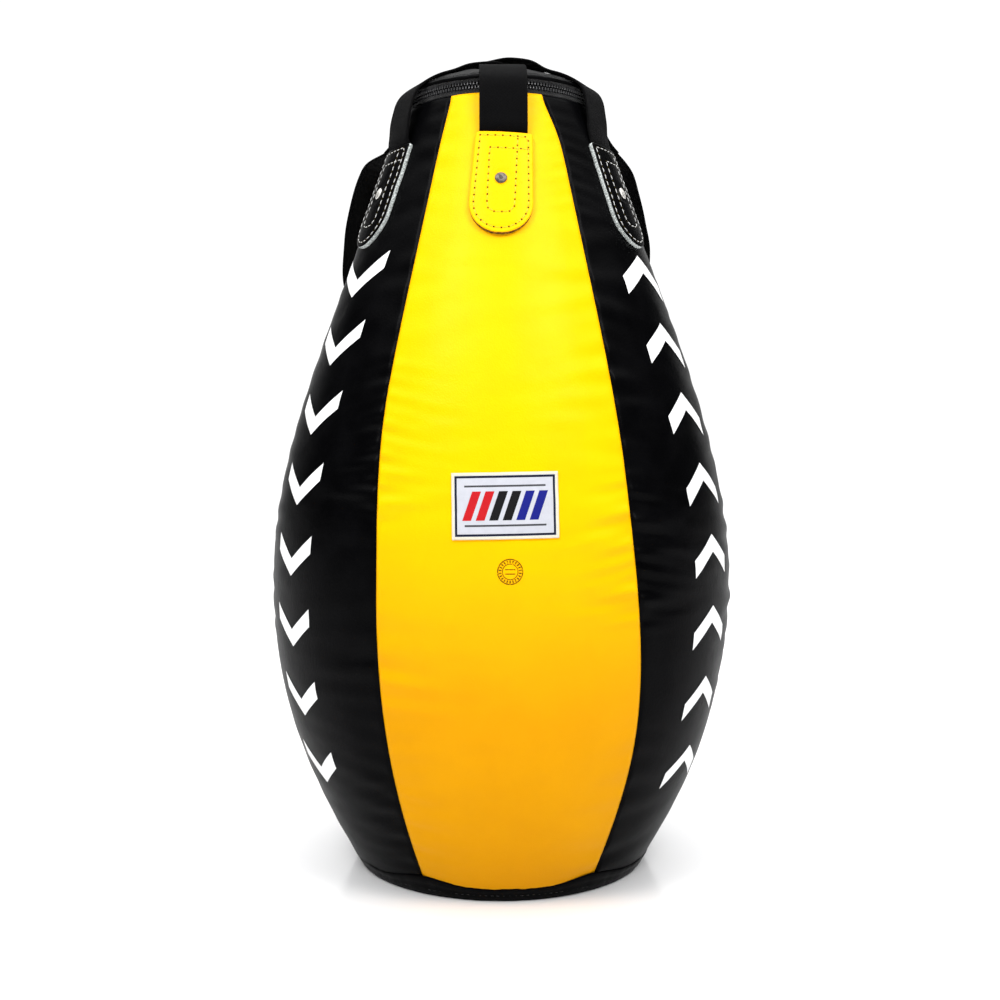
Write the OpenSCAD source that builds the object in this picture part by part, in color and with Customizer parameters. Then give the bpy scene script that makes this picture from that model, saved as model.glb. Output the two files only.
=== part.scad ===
// Heavy punching bag: a teardrop bag of six sewn panels that stands on its flat base, with a
// zipped lid on its neck and three crossing webbing straps to hang it by.
// The front faces -Y, and the origin is at the centre of the base.

/* [Bag] */
// Radius of the round base
base_r = 155; // [145:1:165]
// Radius at the belly, the widest place
belly_r = 252; // [240:1:260]
// Height of the belly above the floor
belly_z = 311; // [290:1:330]
// Radius of the mouth, at the top edge of the panels
rim_r = 107; // [105:0.5:109]
// Height of the top edge of the panels
rim_z = 827; // [815:1:840]
// Thickness of the outer synthetic leather
skin_t = 1.6; // [1:0.1:2.5]
// Thickness of the nylon lining
liner_t = 0.9; // [0.5:0.1:1.5]
// Angle that the front and the back panel each cover, degrees
yellow_angle = 64; // [56:1:70]
// Height of the filling
filling_z = 798; // [760:1:805]

/* [Base] */
// Height of the binding band round the base
binding_h = 11; // [8:0.5:14]

/* [Straps] */
// Width of the webbing
webbing_w = 50; // [48:0.5:52]
// Thickness of the webbing
webbing_t = 2.8; // [2:0.1:3]
// Angle of the side straps from the front, degrees
side_angle = 61; // [58:1:63]
// Height of the top edge of the strap patches
patch_z = 778; // [770:1:782]
// Height of a strap patch
patch_h = 110; // [100:1:120]
// Width of a strap patch at its top
patch_top_w = 56.5; // [54:0.5:60]
// Width of a strap patch at its widest
patch_w = 63; // [60:0.5:66]
// Thickness of a strap patch where nothing is under it
patch_t = 5.2; // [4.8:0.1:6]

/* [Rivets] */
// Height of the rivets
rivet_z = 726; // [715:1:735]
// Radius of a rivet's shank
rivet_r = 2.4; // [2:0.1:3]
// Radius of a rivet's domed head
rivet_head_r = 6.3; // [5:0.1:8]

/* [Zip and lid] */
// Radius of the middle of the zip's teeth
zip_r = 104.7; // [104:0.1:106]
// Angle from the front at which the zip's teeth end, degrees
teeth_end = 138; // [130:1:140]
// Angle from the front at which the slider is parked, degrees
slider_park = 145; // [143:0.5:147]
// Height of the lid's crown
lid_top_z = 870; // [864:1:872]

/* [Label] */
// Width of the woven label
label_w = 100; // [90:1:110]
// Height of the woven label
label_h = 62; // [55:1:70]
// Height of the label's middle
label_z = 401; // [380:1:420]

/* [Hidden] */
$fn = 96;

gap = 0.3;                    // between layers that lie on each other
seam_gap = 0.12;              // half the gap between two panels, degrees
tape_t = 0.8;                 // seam tape
far = 400;                    // longer than the bag is wide
hole_clear = 0.2;             // room round a rivet's shank
lining_top = rim_z - 13;      // top of the liner and the seam tapes
half_yellow = yellow_angle / 2;
strap_angles = [0, side_angle, 180 - side_angle, 180, 180 + side_angle, -side_angle];

// Depth of each layer's outer face under the outside of the bag
tape_in = skin_t + gap;
liner_in = tape_in + tape_t + gap;
filling_in = liner_in + liner_t + gap;
backing_t = 2;
washer_t = 1.2;
neck_slack = 12;              // extra room round the filling in the neck, for backings and rivets

// The outline is two cubic curves that meet, upright, at the belly.
base_slope = 0.6;             // the outline's lean at the floor
base_pull = 90;
belly_pull_down = 130;
belly_pull_up = 150;
rim_slope = 0.34;             // the neck's lean at the rim
rim_pull = 250;
outline_steps = 12;

function bezier(p, t) =
    pow(1 - t, 3) * p[0] + 3 * pow(1 - t, 2) * t * p[1]
    + 3 * (1 - t) * t * t * p[2] + pow(t, 3) * p[3];

function lower_curve(inset) = [
    [base_r - inset, 0], [base_r + base_slope * base_pull - inset, base_pull],
    [belly_r - inset, belly_z - belly_pull_down], [belly_r - inset, belly_z]
];
function upper_curve(inset) = [
    [belly_r - inset, belly_z], [belly_r - inset, belly_z + belly_pull_up],
    [rim_r + rim_slope * rim_pull - inset, rim_z - rim_pull], [rim_r - inset, rim_z]
];
function outline(inset) = concat(
    [for (i = [0 : outline_steps - 1]) bezier(lower_curve(inset), i / outline_steps)],
    [for (i = [0 : outline_steps]) bezier(upper_curve(inset), i / outline_steps)]
);
// Points of an outline between two heights, with its own points at the two ends
function neck_r(z) = rim_r + rim_slope * (rim_z - z);
function clip_outline(points, low, high) = [for (p = points) if (p[1] > low && p[1] < high) p];
function at_height(points, z) =
    [for (i = [1 : len(points) - 1])
        let (a = points[i - 1], b = points[i])
        if (a[1] <= z && z < b[1] || (i == len(points) - 1 && z >= b[1]))
            a + (b - a) * (z - a[1]) / (b[1] - a[1])][0];
function outline_between(inset, low, high) =
    let (points = outline(inset))
    concat([at_height(points, low)], clip_outline(points, low, high), [at_height(points, high)]);
function reversed(v) = [for (i = [len(v) - 1 : -1 : 0]) v[i]];

// A skin between two depths under the outside, from one height to another
module skin_section(outer, inner, low, high)
    polygon(concat(outline_between(outer, low, high), reversed(outline_between(inner, low, high))));

// A skin that covers the angles from a to b, measured from the front towards +X
module skin(outer, inner, low, high, a, b)
    rotate([0, 0, a - 90]) rotate_extrude(angle = b - a) skin_section(outer, inner, low, high);

// A ring with a rectangular section over the angles from a to b
module ring(r_in, r_out, low, high, a, b)
    rotate([0, 0, a - 90]) rotate_extrude(angle = b - a)
        polygon([[r_in, low], [r_out, low], [r_out, high], [r_in, high]]);

// Puts children that are drawn facing the front at another angle
module facing(a) rotate([0, 0, a]) children();

// A hole along each rivet
module rivet_hole(a)
    facing(a) translate([0, -neck_r(rivet_z), rivet_z]) rotate([90, 0, 0])
        cylinder(r = rivet_r + hole_clear, h = 60, center = true, $fn = 32);
module rivet_holes() for (a = strap_angles) rivet_hole(a);

// ---- Panels ----
panel_low = 2.2;
module panel(a, b)
    difference() {
        skin(0, skin_t, panel_low, rim_z, a + seam_gap, b - seam_gap);
        rivet_holes();
    }
module panel_front() color("gold") panel(-half_yellow, half_yellow);
module panel_front_right() color("#1a1a1c") panel(half_yellow, 90);
module panel_rear_right() color("#1a1a1c") panel(90, 180 - half_yellow);
module panel_back() color("gold") panel(180 - half_yellow, 180 + half_yellow);
module panel_rear_left() color("#1a1a1c") panel(180 + half_yellow, 270);
module panel_front_left() color("#1a1a1c") panel(270, 360 - half_yellow);

// ---- Base ----
base_t = 2;
module base_panel() color("#161618")
    rotate_extrude() polygon([
        [0, 0], [base_r - 3, 0], [base_r - 1.2, 0.5], [base_r - 0.5, base_t],
        [0, base_t]
    ]);
module base_binding() color("#101012")
    difference() {
        rotate_extrude() skin_section(-gap - skin_t, -gap, 0.6, binding_h);
        translate([0, 0, -1]) cylinder(r = base_r - 0.2, h = 1 + base_t + 0.1);
    }

// ---- Inside ----
tape_half = 3;                // half of a seam tape's width, degrees
module seam_tapes() color("dimgray")
    for (a = [-half_yellow, half_yellow, 90, 180 - half_yellow, 180 + half_yellow, 270])
        skin(tape_in, tape_in + tape_t, panel_low + 1, lining_top, a - tape_half, a + tape_half);
module liner() color("slategray")
    difference() {
        rotate_extrude() polygon(concat(
            [[0, panel_low]], outline_between(liner_in, panel_low, lining_top),
            reversed(outline_between(liner_in + liner_t, panel_low + liner_t, lining_top)),
            [[0, panel_low + liner_t]]
        ));
        rivet_holes();
    }
slack_from = 560;             // the filling draws in above this height
slack_full = 660;
filling_edge = 12;            // height of the slope round the filling's top
function ease(t) = let (c = min(1, max(0, t))) c * c * (3 - 2 * c);
function neck_inset(z) = neck_slack * ease((z - slack_from) / (slack_full - slack_from));
module filling() color("tan")
    rotate_extrude() polygon(concat(
        [[0, panel_low + liner_t + gap]],
        [for (p = outline_between(filling_in, panel_low + liner_t + gap, filling_z - filling_edge))
            p - [neck_inset(p[1]), 0]],
        [[neck_r(filling_z) - 30, filling_z - 3], [0, filling_z]]
    ));

// ---- Strap patches ----
// The outline of a patch: straight sides that widen downwards, and a round bottom
bottom_steps = 24;
module patch_outline(grow)
    let (r = patch_w / 2, mid = patch_z - patch_h + r)
    polygon(concat(
        [[patch_top_w / 2 + grow, patch_z + grow], [-patch_top_w / 2 - grow, patch_z + grow]],
        [for (i = [0 : bottom_steps]) let (t = 180 + 180 * i / bottom_steps)
            [(r + grow) * cos(t), mid + (r + grow) * sin(t)]]
    ));
module patch_column(grow) rotate([90, 0, 0]) linear_extrude(far) patch_outline(grow);
module tail_column(grow)
    translate([-webbing_w / 2 - grow, -far, tail_z - grow])
        cube([webbing_w + 2 * grow, far, far]);
tail_z = patch_z - patch_h + 14;
tail_top = patch_z + 4;       // the webbing goes on from here as a strap or a slack loop
tail_out = gap + webbing_t;   // outer face of the webbing, outside the bag's skin
neck_low = 655;
patch_cover = 30;             // half the angle that holds a whole patch, degrees
module neck_skin(outer, inner, high)
    skin(outer, inner, neck_low, high, -patch_cover, patch_cover);

module patch(a, shade) color(shade) facing(a)
    difference() {
        intersection() {
            neck_skin(-gap - patch_t, -gap, patch_z + 3);
            patch_column(0);
        }
        intersection() {
            neck_skin(-tail_out - gap, 0, rim_z - 1);
            tail_column(gap);
        }
        rivet_hole(0);
    }
module tail(a) color("#202022") facing(a)
    difference() {
        intersection() {
            neck_skin(-tail_out, -gap, tail_top);
            tail_column(0);
        }
        rivet_hole(0);
    }
module patch_front() patch(0, "gold");
module patch_front_right() patch(side_angle, "#242426");
module patch_rear_right() patch(180 - side_angle, "#242426");
module patch_back() patch(180, "gold");
module patch_rear_left() patch(180 + side_angle, "#242426");
module patch_front_left() patch(-side_angle, "#242426");
module tail_front() tail(0);
module tail_front_right() tail(side_angle);
module tail_rear_right() tail(180 - side_angle);
module tail_back() tail(180);
module tail_rear_left() tail(180 + side_angle);
module tail_front_left() tail(-side_angle);

backing_inset = 4;            // a backing is smaller than its patch by this much all round
module patch_backings() color("saddlebrown")
    for (a = strap_angles) facing(a)
        difference() {
            intersection() {
                neck_skin(filling_in, filling_in + backing_t, patch_z);
                patch_column(-backing_inset);
            }
            rivet_hole(0);
        }

// ---- Rivets ----
// A rivet lies square to the bag's axis; its head sits on the patch, its washer on the backing.
skin_at_rivet = at_height(outline(0), rivet_z)[0];
rivet_out = skin_at_rivet + patch_t + gap + 2.6;
rivet_in = skin_at_rivet - filling_in - backing_t - 3.2;
head_h = 2.4;
dome_r = 8;                   // roundness of a rivet's head
washer_r = 8;
module along_rivet(r) translate([0, -r, rivet_z]) rotate([90, 0, 0]) children();
module rivets() color("silver")
    for (a = strap_angles) facing(a) {
        along_rivet(rivet_in - washer_t - 0.8)
            cylinder(r = rivet_r, h = rivet_out - rivet_in + washer_t + 1, $fn = 32);
        along_rivet(rivet_out)
            intersection() {
                cylinder(r = rivet_head_r, h = head_h, $fn = 48);
                translate([0, 0, -dome_r]) sphere(r = dome_r + head_h, $fn = 64);
            }
    }
module rivet_washers() color("gainsboro")
    for (a = strap_angles) facing(a) along_rivet(rivet_in - washer_t)
        difference() {
            cylinder(r = washer_r, h = washer_t, $fn = 48);
            translate([0, 0, -1]) cylinder(r = rivet_r + 0.1, h = washer_t + 2, $fn = 32);
        }

// ---- Webbing ----
function unit(v) = v / norm(v);
function left_of(v) = [-v[1], v[0]];
function spline_point(a, b, c, d, t) =
    0.5 * (2 * b + (c - a) * t + (2 * a - 5 * b + 4 * c - d) * t * t
    + (3 * b - a - 3 * c + d) * pow(t, 3));
// A smooth line through the points, with the same number of steps between each two
function smooth(p, steps) = concat(
    [for (i = [0 : len(p) - 2], k = [0 : steps - 1])
        spline_point(p[max(0, i - 1)], p[i], p[i + 1], p[min(len(p) - 1, i + 2)], k / steps)],
    [p[len(p) - 1]]
);
function line_normal(p, i) =
    left_of(unit(p[min(len(p) - 1, i + 1)] - p[max(0, i - 1)]));
function shifted(p, d) = [for (i = [0 : len(p) - 1]) p[i] + d * line_normal(p, i)];

// A strip of webbing whose middle follows a line of [distance to the front, height] points
module webbing(line)
    rotate([90, 0, -90]) linear_extrude(webbing_w, center = true)
        polygon(concat(shifted(line, webbing_t / 2), reversed(shifted(line, -webbing_t / 2))));

// Half of a strap's arch, from its foot on the neck to the crossing over the lid
function arch_half(lift) = [
    [130, 783], [126, 800], [121.5, 820], [116.5, 836], [107, 847],
    [88, 859.2], [68, 867.2 + lift / 2], [49, 873.4 + lift], [24, 878.8 + lift],
    [0, 879.6 + lift]
];
// The half over a slack loop starts on the loop's shoulder
function rear_half(lift) = concat(
    [[141.5, 800], [131, 808]], [for (i = [2 : 9]) arch_half(lift)[i]]
);
function mirrored(p) = [for (q = p) [-q[0], q[1]]];
arch_steps = 3;
module strap_arch(a, lift) color("#202022") facing(a)
    webbing(smooth(concat(
        arch_half(lift), reversed([for (q = mirrored(rear_half(lift))) if (q[0] < 0) q])
    ), arch_steps));
stack = webbing_t + 1.8;      // rise of each strap over the one below, where they cross
module strap_front_back() strap_arch(0, 0);
module strap_left() strap_arch(-side_angle, stack);
module strap_right() strap_arch(side_angle, 2 * stack);

// Slack webbing that hangs in a loop behind the neck, from a patch's top to the shoulder
function slack_line(bulge, bottom) = [
    [128.6, tail_top + 0.4], [129.5, 787.5], [134, 791.5], [139, 789], [142.5, 780],
    [150, 752], [161, 715], [bulge - 21, bottom + 40], [bulge - 14, bottom + 10],
    [bulge - 7, bottom], [bulge, bottom + 10], [bulge + 1, bottom + 40],
    [bulge - 4, 720], [bulge - 13, 752], [bulge - 22, 776], [bulge - 33, 790], [142.2, 799.4]
];
loop_steps = 3;
module slack_loop(a, bulge, bottom) color("#202022") facing(a)
    webbing(smooth(slack_line(bulge, bottom), loop_steps));
module slack_loop_back() slack_loop(180, 194, 650);
module slack_loop_rear_right() slack_loop(180 - side_angle, 186, 655);
module slack_loop_rear_left() slack_loop(180 + side_angle, 200, 640);

// ---- Zip ----
tape_t_zip = 0.9;
teeth_t = 3.4;
teeth_h = 3.5;
row_gap = 1.2;
lower_teeth_z = 831.4;
upper_teeth_z = lower_teeth_z + teeth_h + row_gap;
tape_end = 155;
stop_at = 151.5;
stop_w = 2.4;
module zip_teeth(low) color("gray")
    ring(zip_r - teeth_t / 2, zip_r + teeth_t / 2, low, low + teeth_h, -teeth_end, teeth_end);
module zip_teeth_lower() zip_teeth(lower_teeth_z);
module zip_teeth_upper() zip_teeth(upper_teeth_z);
tape_foot_z = 816;
module zip_tape_lower() color("#0c0c0d")
    rotate([0, 0, -tape_end - 90]) rotate_extrude(angle = 2 * tape_end)
        polygon([
            [neck_r(tape_foot_z) - tape_in - 1 - tape_t_zip, tape_foot_z],
            [neck_r(tape_foot_z) - tape_in - 1, tape_foot_z],
            [zip_r + tape_t_zip / 2, rim_z], [zip_r + tape_t_zip / 2, lower_teeth_z - 0.2],
            [zip_r - tape_t_zip / 2, lower_teeth_z - 0.2], [zip_r - tape_t_zip / 2, rim_z]
        ]);
tape_top_z = 844;
module zip_tape_upper() color("#0c0c0d")
    ring(zip_r - tape_t_zip / 2, zip_r + tape_t_zip / 2,
        upper_teeth_z + teeth_h + 0.2, tape_top_z, -tape_end, tape_end);
module zip_stops() color("silver")
    for (side = [-1, 1]) facing(side * stop_at)
        translate([-stop_w / 2, -zip_r - teeth_t / 2, lower_teeth_z])
            cube([stop_w, teeth_t, teeth_h]);

// The slider has a plate inside and outside the teeth, joined by a thin web between the rows.
slider_half = 5.2;            // half its length, degrees
plate_t = 1.8;
plate_gap = teeth_t / 2 + 1.2;
plate_low = 829.5;
plate_high = 841.5;
web_t = 0.6;
web_z = lower_teeth_z + teeth_h + (row_gap - web_t) / 2;
bail_z = 833;
bail_h = 5.5;
pull_pin_z = 837;
pull_pin_r = zip_r + plate_gap + plate_t + 1.6;
module slider_plate(r) ring(r, r + plate_t, plate_low, plate_high,
    slider_park - slider_half, slider_park + slider_half);
module zip_slider() color("gray") union() {
    slider_plate(zip_r + plate_gap);
    slider_plate(zip_r - plate_gap - plate_t);
    ring(zip_r - plate_gap - 0.5, zip_r + plate_gap + 0.5, web_z, web_z + web_t,
        slider_park - 2, slider_park + 2);
    facing(slider_park) for (side = [-1, 1])
        translate([side * 3.6 - 0.8, -pull_pin_r - 0.9, bail_z])
            cube([1.6, pull_pin_r + 0.9 - (zip_r + plate_gap + 0.6), bail_h]);
    facing(slider_park) translate([0, -pull_pin_r, pull_pin_z]) rotate([0, 90, 0])
        cylinder(r = 0.7, h = 7, center = true, $fn = 24);
}
// The pull hangs from the slider's pin and leans on the neck.
pull_lean = atan(rim_slope) + 2;
pull_len = 30;
pull_w = 7.5;
pull_t = 1.3;
module zip_pull() color("gray") facing(slider_park)
    translate([0, -pull_pin_r, pull_pin_z]) rotate([-pull_lean, 0, 0])
        difference() {
            union() {
                rotate([0, 90, 0]) cylinder(r = 1.5, h = 5.2, center = true, $fn = 32);
                translate([-2.2, -pull_t / 2, -6]) cube([4.4, pull_t, 5.5]);
                translate([-pull_w / 2, -pull_t / 2, -pull_len])
                    cube([pull_w, pull_t, pull_len - 5.5]);
            }
            rotate([0, 90, 0]) cylinder(r = 0.76, h = 9, center = true, $fn = 32);
            translate([0, 0, -pull_len + 5]) rotate([90, 0, 0])
                cylinder(r = 1.8, h = 5, center = true, $fn = 32);
        }

// ---- Lid ----
lid_low = 842.4;
lid_t = 1.8;
lid_r = 106.6;
function lid_curve(depth) = [
    [lid_r - depth, lid_low], [lid_r - 1.6 - depth, lid_low + 4 - depth / 3],
    [96 - depth / 2, 851 - depth], [80, 857.2 - depth], [60, 863 - depth],
    [32, 868.2 - depth], [0, lid_top_z - depth]
];
module dome(outer, thick)
    rotate_extrude() polygon(concat(
        smooth(lid_curve(outer), 3), reversed(smooth(lid_curve(outer + thick), 3))
    ));
module lid_panel() color("#1a1a1c") difference() {
    dome(0, lid_t);
    ring(zip_r - tape_t_zip / 2 - 0.2, zip_r + tape_t_zip / 2 + 0.2,
        lid_low - 1, tape_top_z + 0.2, -tape_end, tape_end);
}
lining_t = 0.8;
lid_lining_z = 846.5;         // the lining ends here, inside the zip tape
module lid_lining() color("slategray")
    rotate_extrude() polygon(concat(
        [for (p = smooth(lid_curve(lid_t + gap), 3)) if (p[1] > lid_lining_z) p],
        reversed([for (p = smooth(lid_curve(lid_t + gap + lining_t), 3))
            if (p[1] > lid_lining_z) p])
    ));
// Where there is no zip, the lid is sewn to the bag's neck and folds on this strip.
hinge_z = 835;
hinge_foot_z = 818;
hinge_t = 1.6;
hinge_r = rim_r - skin_t - gap;
module lid_hinge_strip() color("#1a1a1c")
    rotate([0, 0, tape_end + 0.5 - 90]) rotate_extrude(angle = 360 - 2 * tape_end - 1)
        polygon([
            [neck_r(hinge_foot_z) - tape_in - hinge_t, hinge_foot_z],
            [neck_r(hinge_foot_z) - tape_in, hinge_foot_z],
            [hinge_r, rim_z], [hinge_r, hinge_z - gap],
            [hinge_r - hinge_t, hinge_z - gap], [hinge_r - hinge_t, rim_z]
        ]);

// ---- Label ----
label_t = 0.8;
label_x = 4;                  // the label is sewn on a little to the right
module label() color("white")
    intersection() {
        skin(-gap - label_t, -gap, label_z - label_h, label_z + label_h, -25, 25);
        translate([label_x - label_w / 2, -far, label_z - label_h / 2])
            cube([label_w, far, label_h]);
    }

panel_front();
panel_front_right();
panel_rear_right();
panel_back();
panel_rear_left();
panel_front_left();
base_panel();
base_binding();
seam_tapes();
liner();
filling();
patch_front();
patch_front_right();
patch_rear_right();
patch_back();
patch_rear_left();
patch_front_left();
tail_front();
tail_front_right();
tail_rear_right();
tail_back();
tail_rear_left();
tail_front_left();
patch_backings();
rivets();
rivet_washers();
strap_front_back();
strap_left();
strap_right();
slack_loop_back();
slack_loop_rear_right();
slack_loop_rear_left();
zip_tape_lower();
zip_teeth_lower();
zip_stops();
lid_hinge_strip();
lid_panel();
lid_lining();
zip_tape_upper();
zip_teeth_upper();
zip_slider();
zip_pull();
label();
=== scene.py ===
"""Looks of the teardrop heavy punching bag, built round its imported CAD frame.

Lengths are in millimetres until a mesh is made. Azimuths are in degrees from the front (-Y),
positive towards +X. A skin height h is measured outward from the bag's leather.
"""
import math
import random

import bpy
import numpy as np
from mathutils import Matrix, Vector


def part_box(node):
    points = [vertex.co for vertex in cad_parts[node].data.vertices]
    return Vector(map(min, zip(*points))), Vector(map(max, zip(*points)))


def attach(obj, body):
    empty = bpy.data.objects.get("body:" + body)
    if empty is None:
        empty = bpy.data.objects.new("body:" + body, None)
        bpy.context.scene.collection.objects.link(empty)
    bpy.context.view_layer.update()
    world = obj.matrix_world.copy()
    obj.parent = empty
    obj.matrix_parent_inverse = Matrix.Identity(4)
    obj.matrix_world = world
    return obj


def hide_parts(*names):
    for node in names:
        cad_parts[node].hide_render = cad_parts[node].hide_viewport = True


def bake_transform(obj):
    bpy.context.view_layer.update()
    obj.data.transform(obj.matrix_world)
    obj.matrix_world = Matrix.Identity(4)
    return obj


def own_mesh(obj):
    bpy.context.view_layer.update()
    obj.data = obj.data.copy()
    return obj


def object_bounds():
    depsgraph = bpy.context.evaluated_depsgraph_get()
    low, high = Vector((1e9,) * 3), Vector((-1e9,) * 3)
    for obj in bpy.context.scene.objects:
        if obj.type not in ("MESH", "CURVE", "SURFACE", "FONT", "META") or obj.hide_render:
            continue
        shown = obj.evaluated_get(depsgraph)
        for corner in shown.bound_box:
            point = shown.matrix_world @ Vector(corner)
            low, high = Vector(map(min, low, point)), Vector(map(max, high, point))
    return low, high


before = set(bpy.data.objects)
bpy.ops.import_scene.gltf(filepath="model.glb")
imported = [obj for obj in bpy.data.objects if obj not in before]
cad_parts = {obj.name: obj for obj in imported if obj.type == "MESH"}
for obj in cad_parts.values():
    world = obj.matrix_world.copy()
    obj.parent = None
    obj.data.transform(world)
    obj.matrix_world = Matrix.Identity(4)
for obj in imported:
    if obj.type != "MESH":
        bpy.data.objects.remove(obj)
CAD_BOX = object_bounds()

MM = 0.001


def lo(node):
    """Lowest corner of a CAD node, in millimetres."""
    return [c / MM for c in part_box(node)[0]]


def hi(node):
    """Highest corner of a CAD node, in millimetres."""
    return [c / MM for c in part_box(node)[1]]


# ---- Driving sizes, from the frame where it has them ----
BELLY_R = CAD_BOX[1][0] / MM
RIM_Z = hi("panel_front")[2]
PANEL_LOW = lo("panel_front")[2]
BASE_R = 155.0
BELLY_Z = 311.0
RIM_R = 107.0
NECK_SLOPE = 0.34
PATCH_TOP = hi("patch_front")[2]
PATCH_LOW = lo("patch_front")[2]
PATCH_T = 5.2
PATCH_TOP_W = 56.5
PATCH_W = 63.0
RIVET_Z = (lo("rivets")[2] + hi("rivets")[2]) / 2
SIDE = 61.0
FRONT_TILT = 0.045        # the front patch is sewn on a little out of true, in radians
FRONT_SEWN = 1.2          # the front strap is sewn a little to the right of its patch
LEFT_SEWN = -61.8         # the left strap, and its patch, are sewn a little further round
WEBBING_W = 50.0
WEBBING_T = 2.8
ZIP_R = 104.7
LOWER_TEETH_Z = lo("zip_teeth_lower")[2]
UPPER_TEETH_Z = lo("zip_teeth_upper")[2]
TEETH_H = hi("zip_teeth_lower")[2] - LOWER_TEETH_Z
TEETH_END = 138.0
TAPE_END = 155.0
LID_LOW = lo("lid_panel")[2]
FILLING_TOP = hi("filling")[2]
LABEL_LO, LABEL_HI = lo("label"), hi("label")
LABEL_W = LABEL_HI[0] - LABEL_LO[0]
LABEL_H = LABEL_HI[2] - LABEL_LO[2]


# ---- Camera and stage ----
CAMERA_BACK = 1.40
CAMERA_UP = 0.453
FRAME_WIDE = 1.13          # metres across the picture at the bag's axis
HORIZON_SHIFT = -0.050     # the horizon lies a little above the middle of the picture
SIDE_SHIFT = -0.001


def make_camera():
    data = bpy.data.cameras.new("camera")
    data.sensor_width = 36.0
    data.lens = data.sensor_width * CAMERA_BACK / FRAME_WIDE
    data.shift_y = HORIZON_SHIFT
    data.shift_x = SIDE_SHIFT
    cam = bpy.data.objects.new("camera", data)
    cam.location = (0.0, -CAMERA_BACK, CAMERA_UP)
    cam.rotation_euler = (math.pi / 2, 0.0, 0.0)
    bpy.context.scene.collection.objects.link(cam)
    bpy.context.scene.camera = cam


make_camera()


# ---- Shader helpers ----
class Sock:
    """A shader socket or a number that can be combined with + - * / and the methods below."""

    def __init__(self, tree, value):
        self.tree, self.value = tree, value

    def _math(self, op, *others, clamp=False):
        node = self.tree.nodes.new("ShaderNodeMath")
        node.operation, node.use_clamp = op, clamp
        for slot, v in zip(node.inputs, (self, *others)):
            v = v.value if isinstance(v, Sock) else v
            if isinstance(v, (int, float)):
                slot.default_value = v
            else:
                self.tree.links.new(v, slot)
        return Sock(self.tree, node.outputs[0])

    def __neg__(self):
        return self * -1.0

    def clamp(self):
        return self._math("ADD", 0.0, clamp=True)

    def step(self, a, b):
        """0 below a, 1 above b, smooth between them."""
        node = self.tree.nodes.new("ShaderNodeMapRange")
        node.interpolation_type = "SMOOTHSTEP"
        self.tree.links.new(self.value, node.inputs[0])
        node.inputs[1].default_value, node.inputs[2].default_value = a, b
        return Sock(self.tree, node.outputs[0])


def maths_method(operation):
    def method(self, *others):
        return self._math(operation, *others)
    return method


for symbol, operation in {
    "__add__": "ADD", "__sub__": "SUBTRACT", "__mul__": "MULTIPLY", "__truediv__": "DIVIDE",
    "sin": "SINE", "abs": "ABSOLUTE", "sqrt": "SQRT", "atan2": "ARCTAN2", "floor": "FLOOR",
    "fract": "FRACT", "mod": "FLOORED_MODULO", "maxi": "MAXIMUM", "less": "LESS_THAN",
    "more": "GREATER_THAN",
}.items():
    setattr(Sock, symbol, maths_method(operation))


class Shader:
    """A Principled material under construction."""

    def __init__(self, name):
        self.mat = bpy.data.materials.new(name)
        self.mat.use_nodes = True
        self.tree = self.mat.node_tree
        self.bsdf = self.tree.nodes["Principled BSDF"]
        self._coords = self.tree.nodes.new("ShaderNodeTexCoord")

    def set(self, **values):
        for key, v in values.items():
            self.bsdf.inputs[key.replace("_", " ")].default_value = v

    def place(self):
        return self._coords.outputs["Object"]

    def split(self, source):
        """The x, y and z of a vector socket."""
        node = self.tree.nodes.new("ShaderNodeSeparateXYZ")
        self.tree.links.new(source, node.inputs[0])
        return [Sock(self.tree, part) for part in node.outputs]

    def uv(self):
        """u and v in millimetres."""
        u, v, _ = self.split(self._coords.outputs["UV"])
        return u / MM, v / MM

    def node(self, kind, vector=None, **inputs):
        node = self.tree.nodes.new("ShaderNode" + kind)
        for key, v in inputs.items():
            node.inputs[key].default_value = v
        if vector:
            self.tree.links.new(vector, node.inputs["Vector"])
        return node

    def noise(self, size_mm, detail=3.0, rough=0.5, stretch=None):
        src = self.place()
        if stretch:
            src = self.node("Mapping", src, Scale=stretch).outputs[0]
        node = self.node("TexNoise", src, Scale=1 / (size_mm * MM), Detail=detail, Roughness=rough)
        return Sock(self.tree, node.outputs[0])

    def voronoi(self, size_mm, feature="F1"):
        node = self.node("TexVoronoi", self.place(), Scale=1 / (size_mm * MM))
        node.feature = feature
        return node.outputs

    def grain(self):
        """The leather's pebble grain, which print on it shows too."""
        return Sock(self.tree, self.voronoi(GRAIN_SIZE, "SMOOTH_F1")["Distance"])

    def mix(self, factor, a, b):
        """The colour a where factor is 0, b where it is 1. Each is a colour or an earlier mix."""
        node = self.tree.nodes.new("ShaderNodeMix")
        node.data_type = "RGBA"
        self.tree.links.new(factor.value, node.inputs[0])
        for slot, v in ((node.inputs[6], a), (node.inputs[7], b)):
            if isinstance(v, tuple):
                slot.default_value = (*v, 1.0)
            else:
                self.tree.links.new(v, slot)
        return node.outputs[2]

    def colour(self, factor, a, b):
        self.tree.links.new(self.mix(factor, a, b), self.bsdf.inputs["Base Color"])

    def base(self):
        """The socket that the base colour comes from so far."""
        return self.bsdf.inputs["Base Color"].links[0].from_socket

    def rough(self, sock):
        self.tree.links.new(sock.value, self.bsdf.inputs["Roughness"])

    def bump(self, *layers):
        """Each layer is (height socket, depth in millimetres)."""
        normal = self.bsdf.inputs["Normal"]
        for sock, depth in reversed(layers):
            node = self.node("Bump", Strength=1.0, Distance=depth * MM)
            self.tree.links.new(sock.value, node.inputs["Height"])
            self.tree.links.new(node.outputs[0], normal)
            normal = node.inputs["Normal"]


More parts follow.
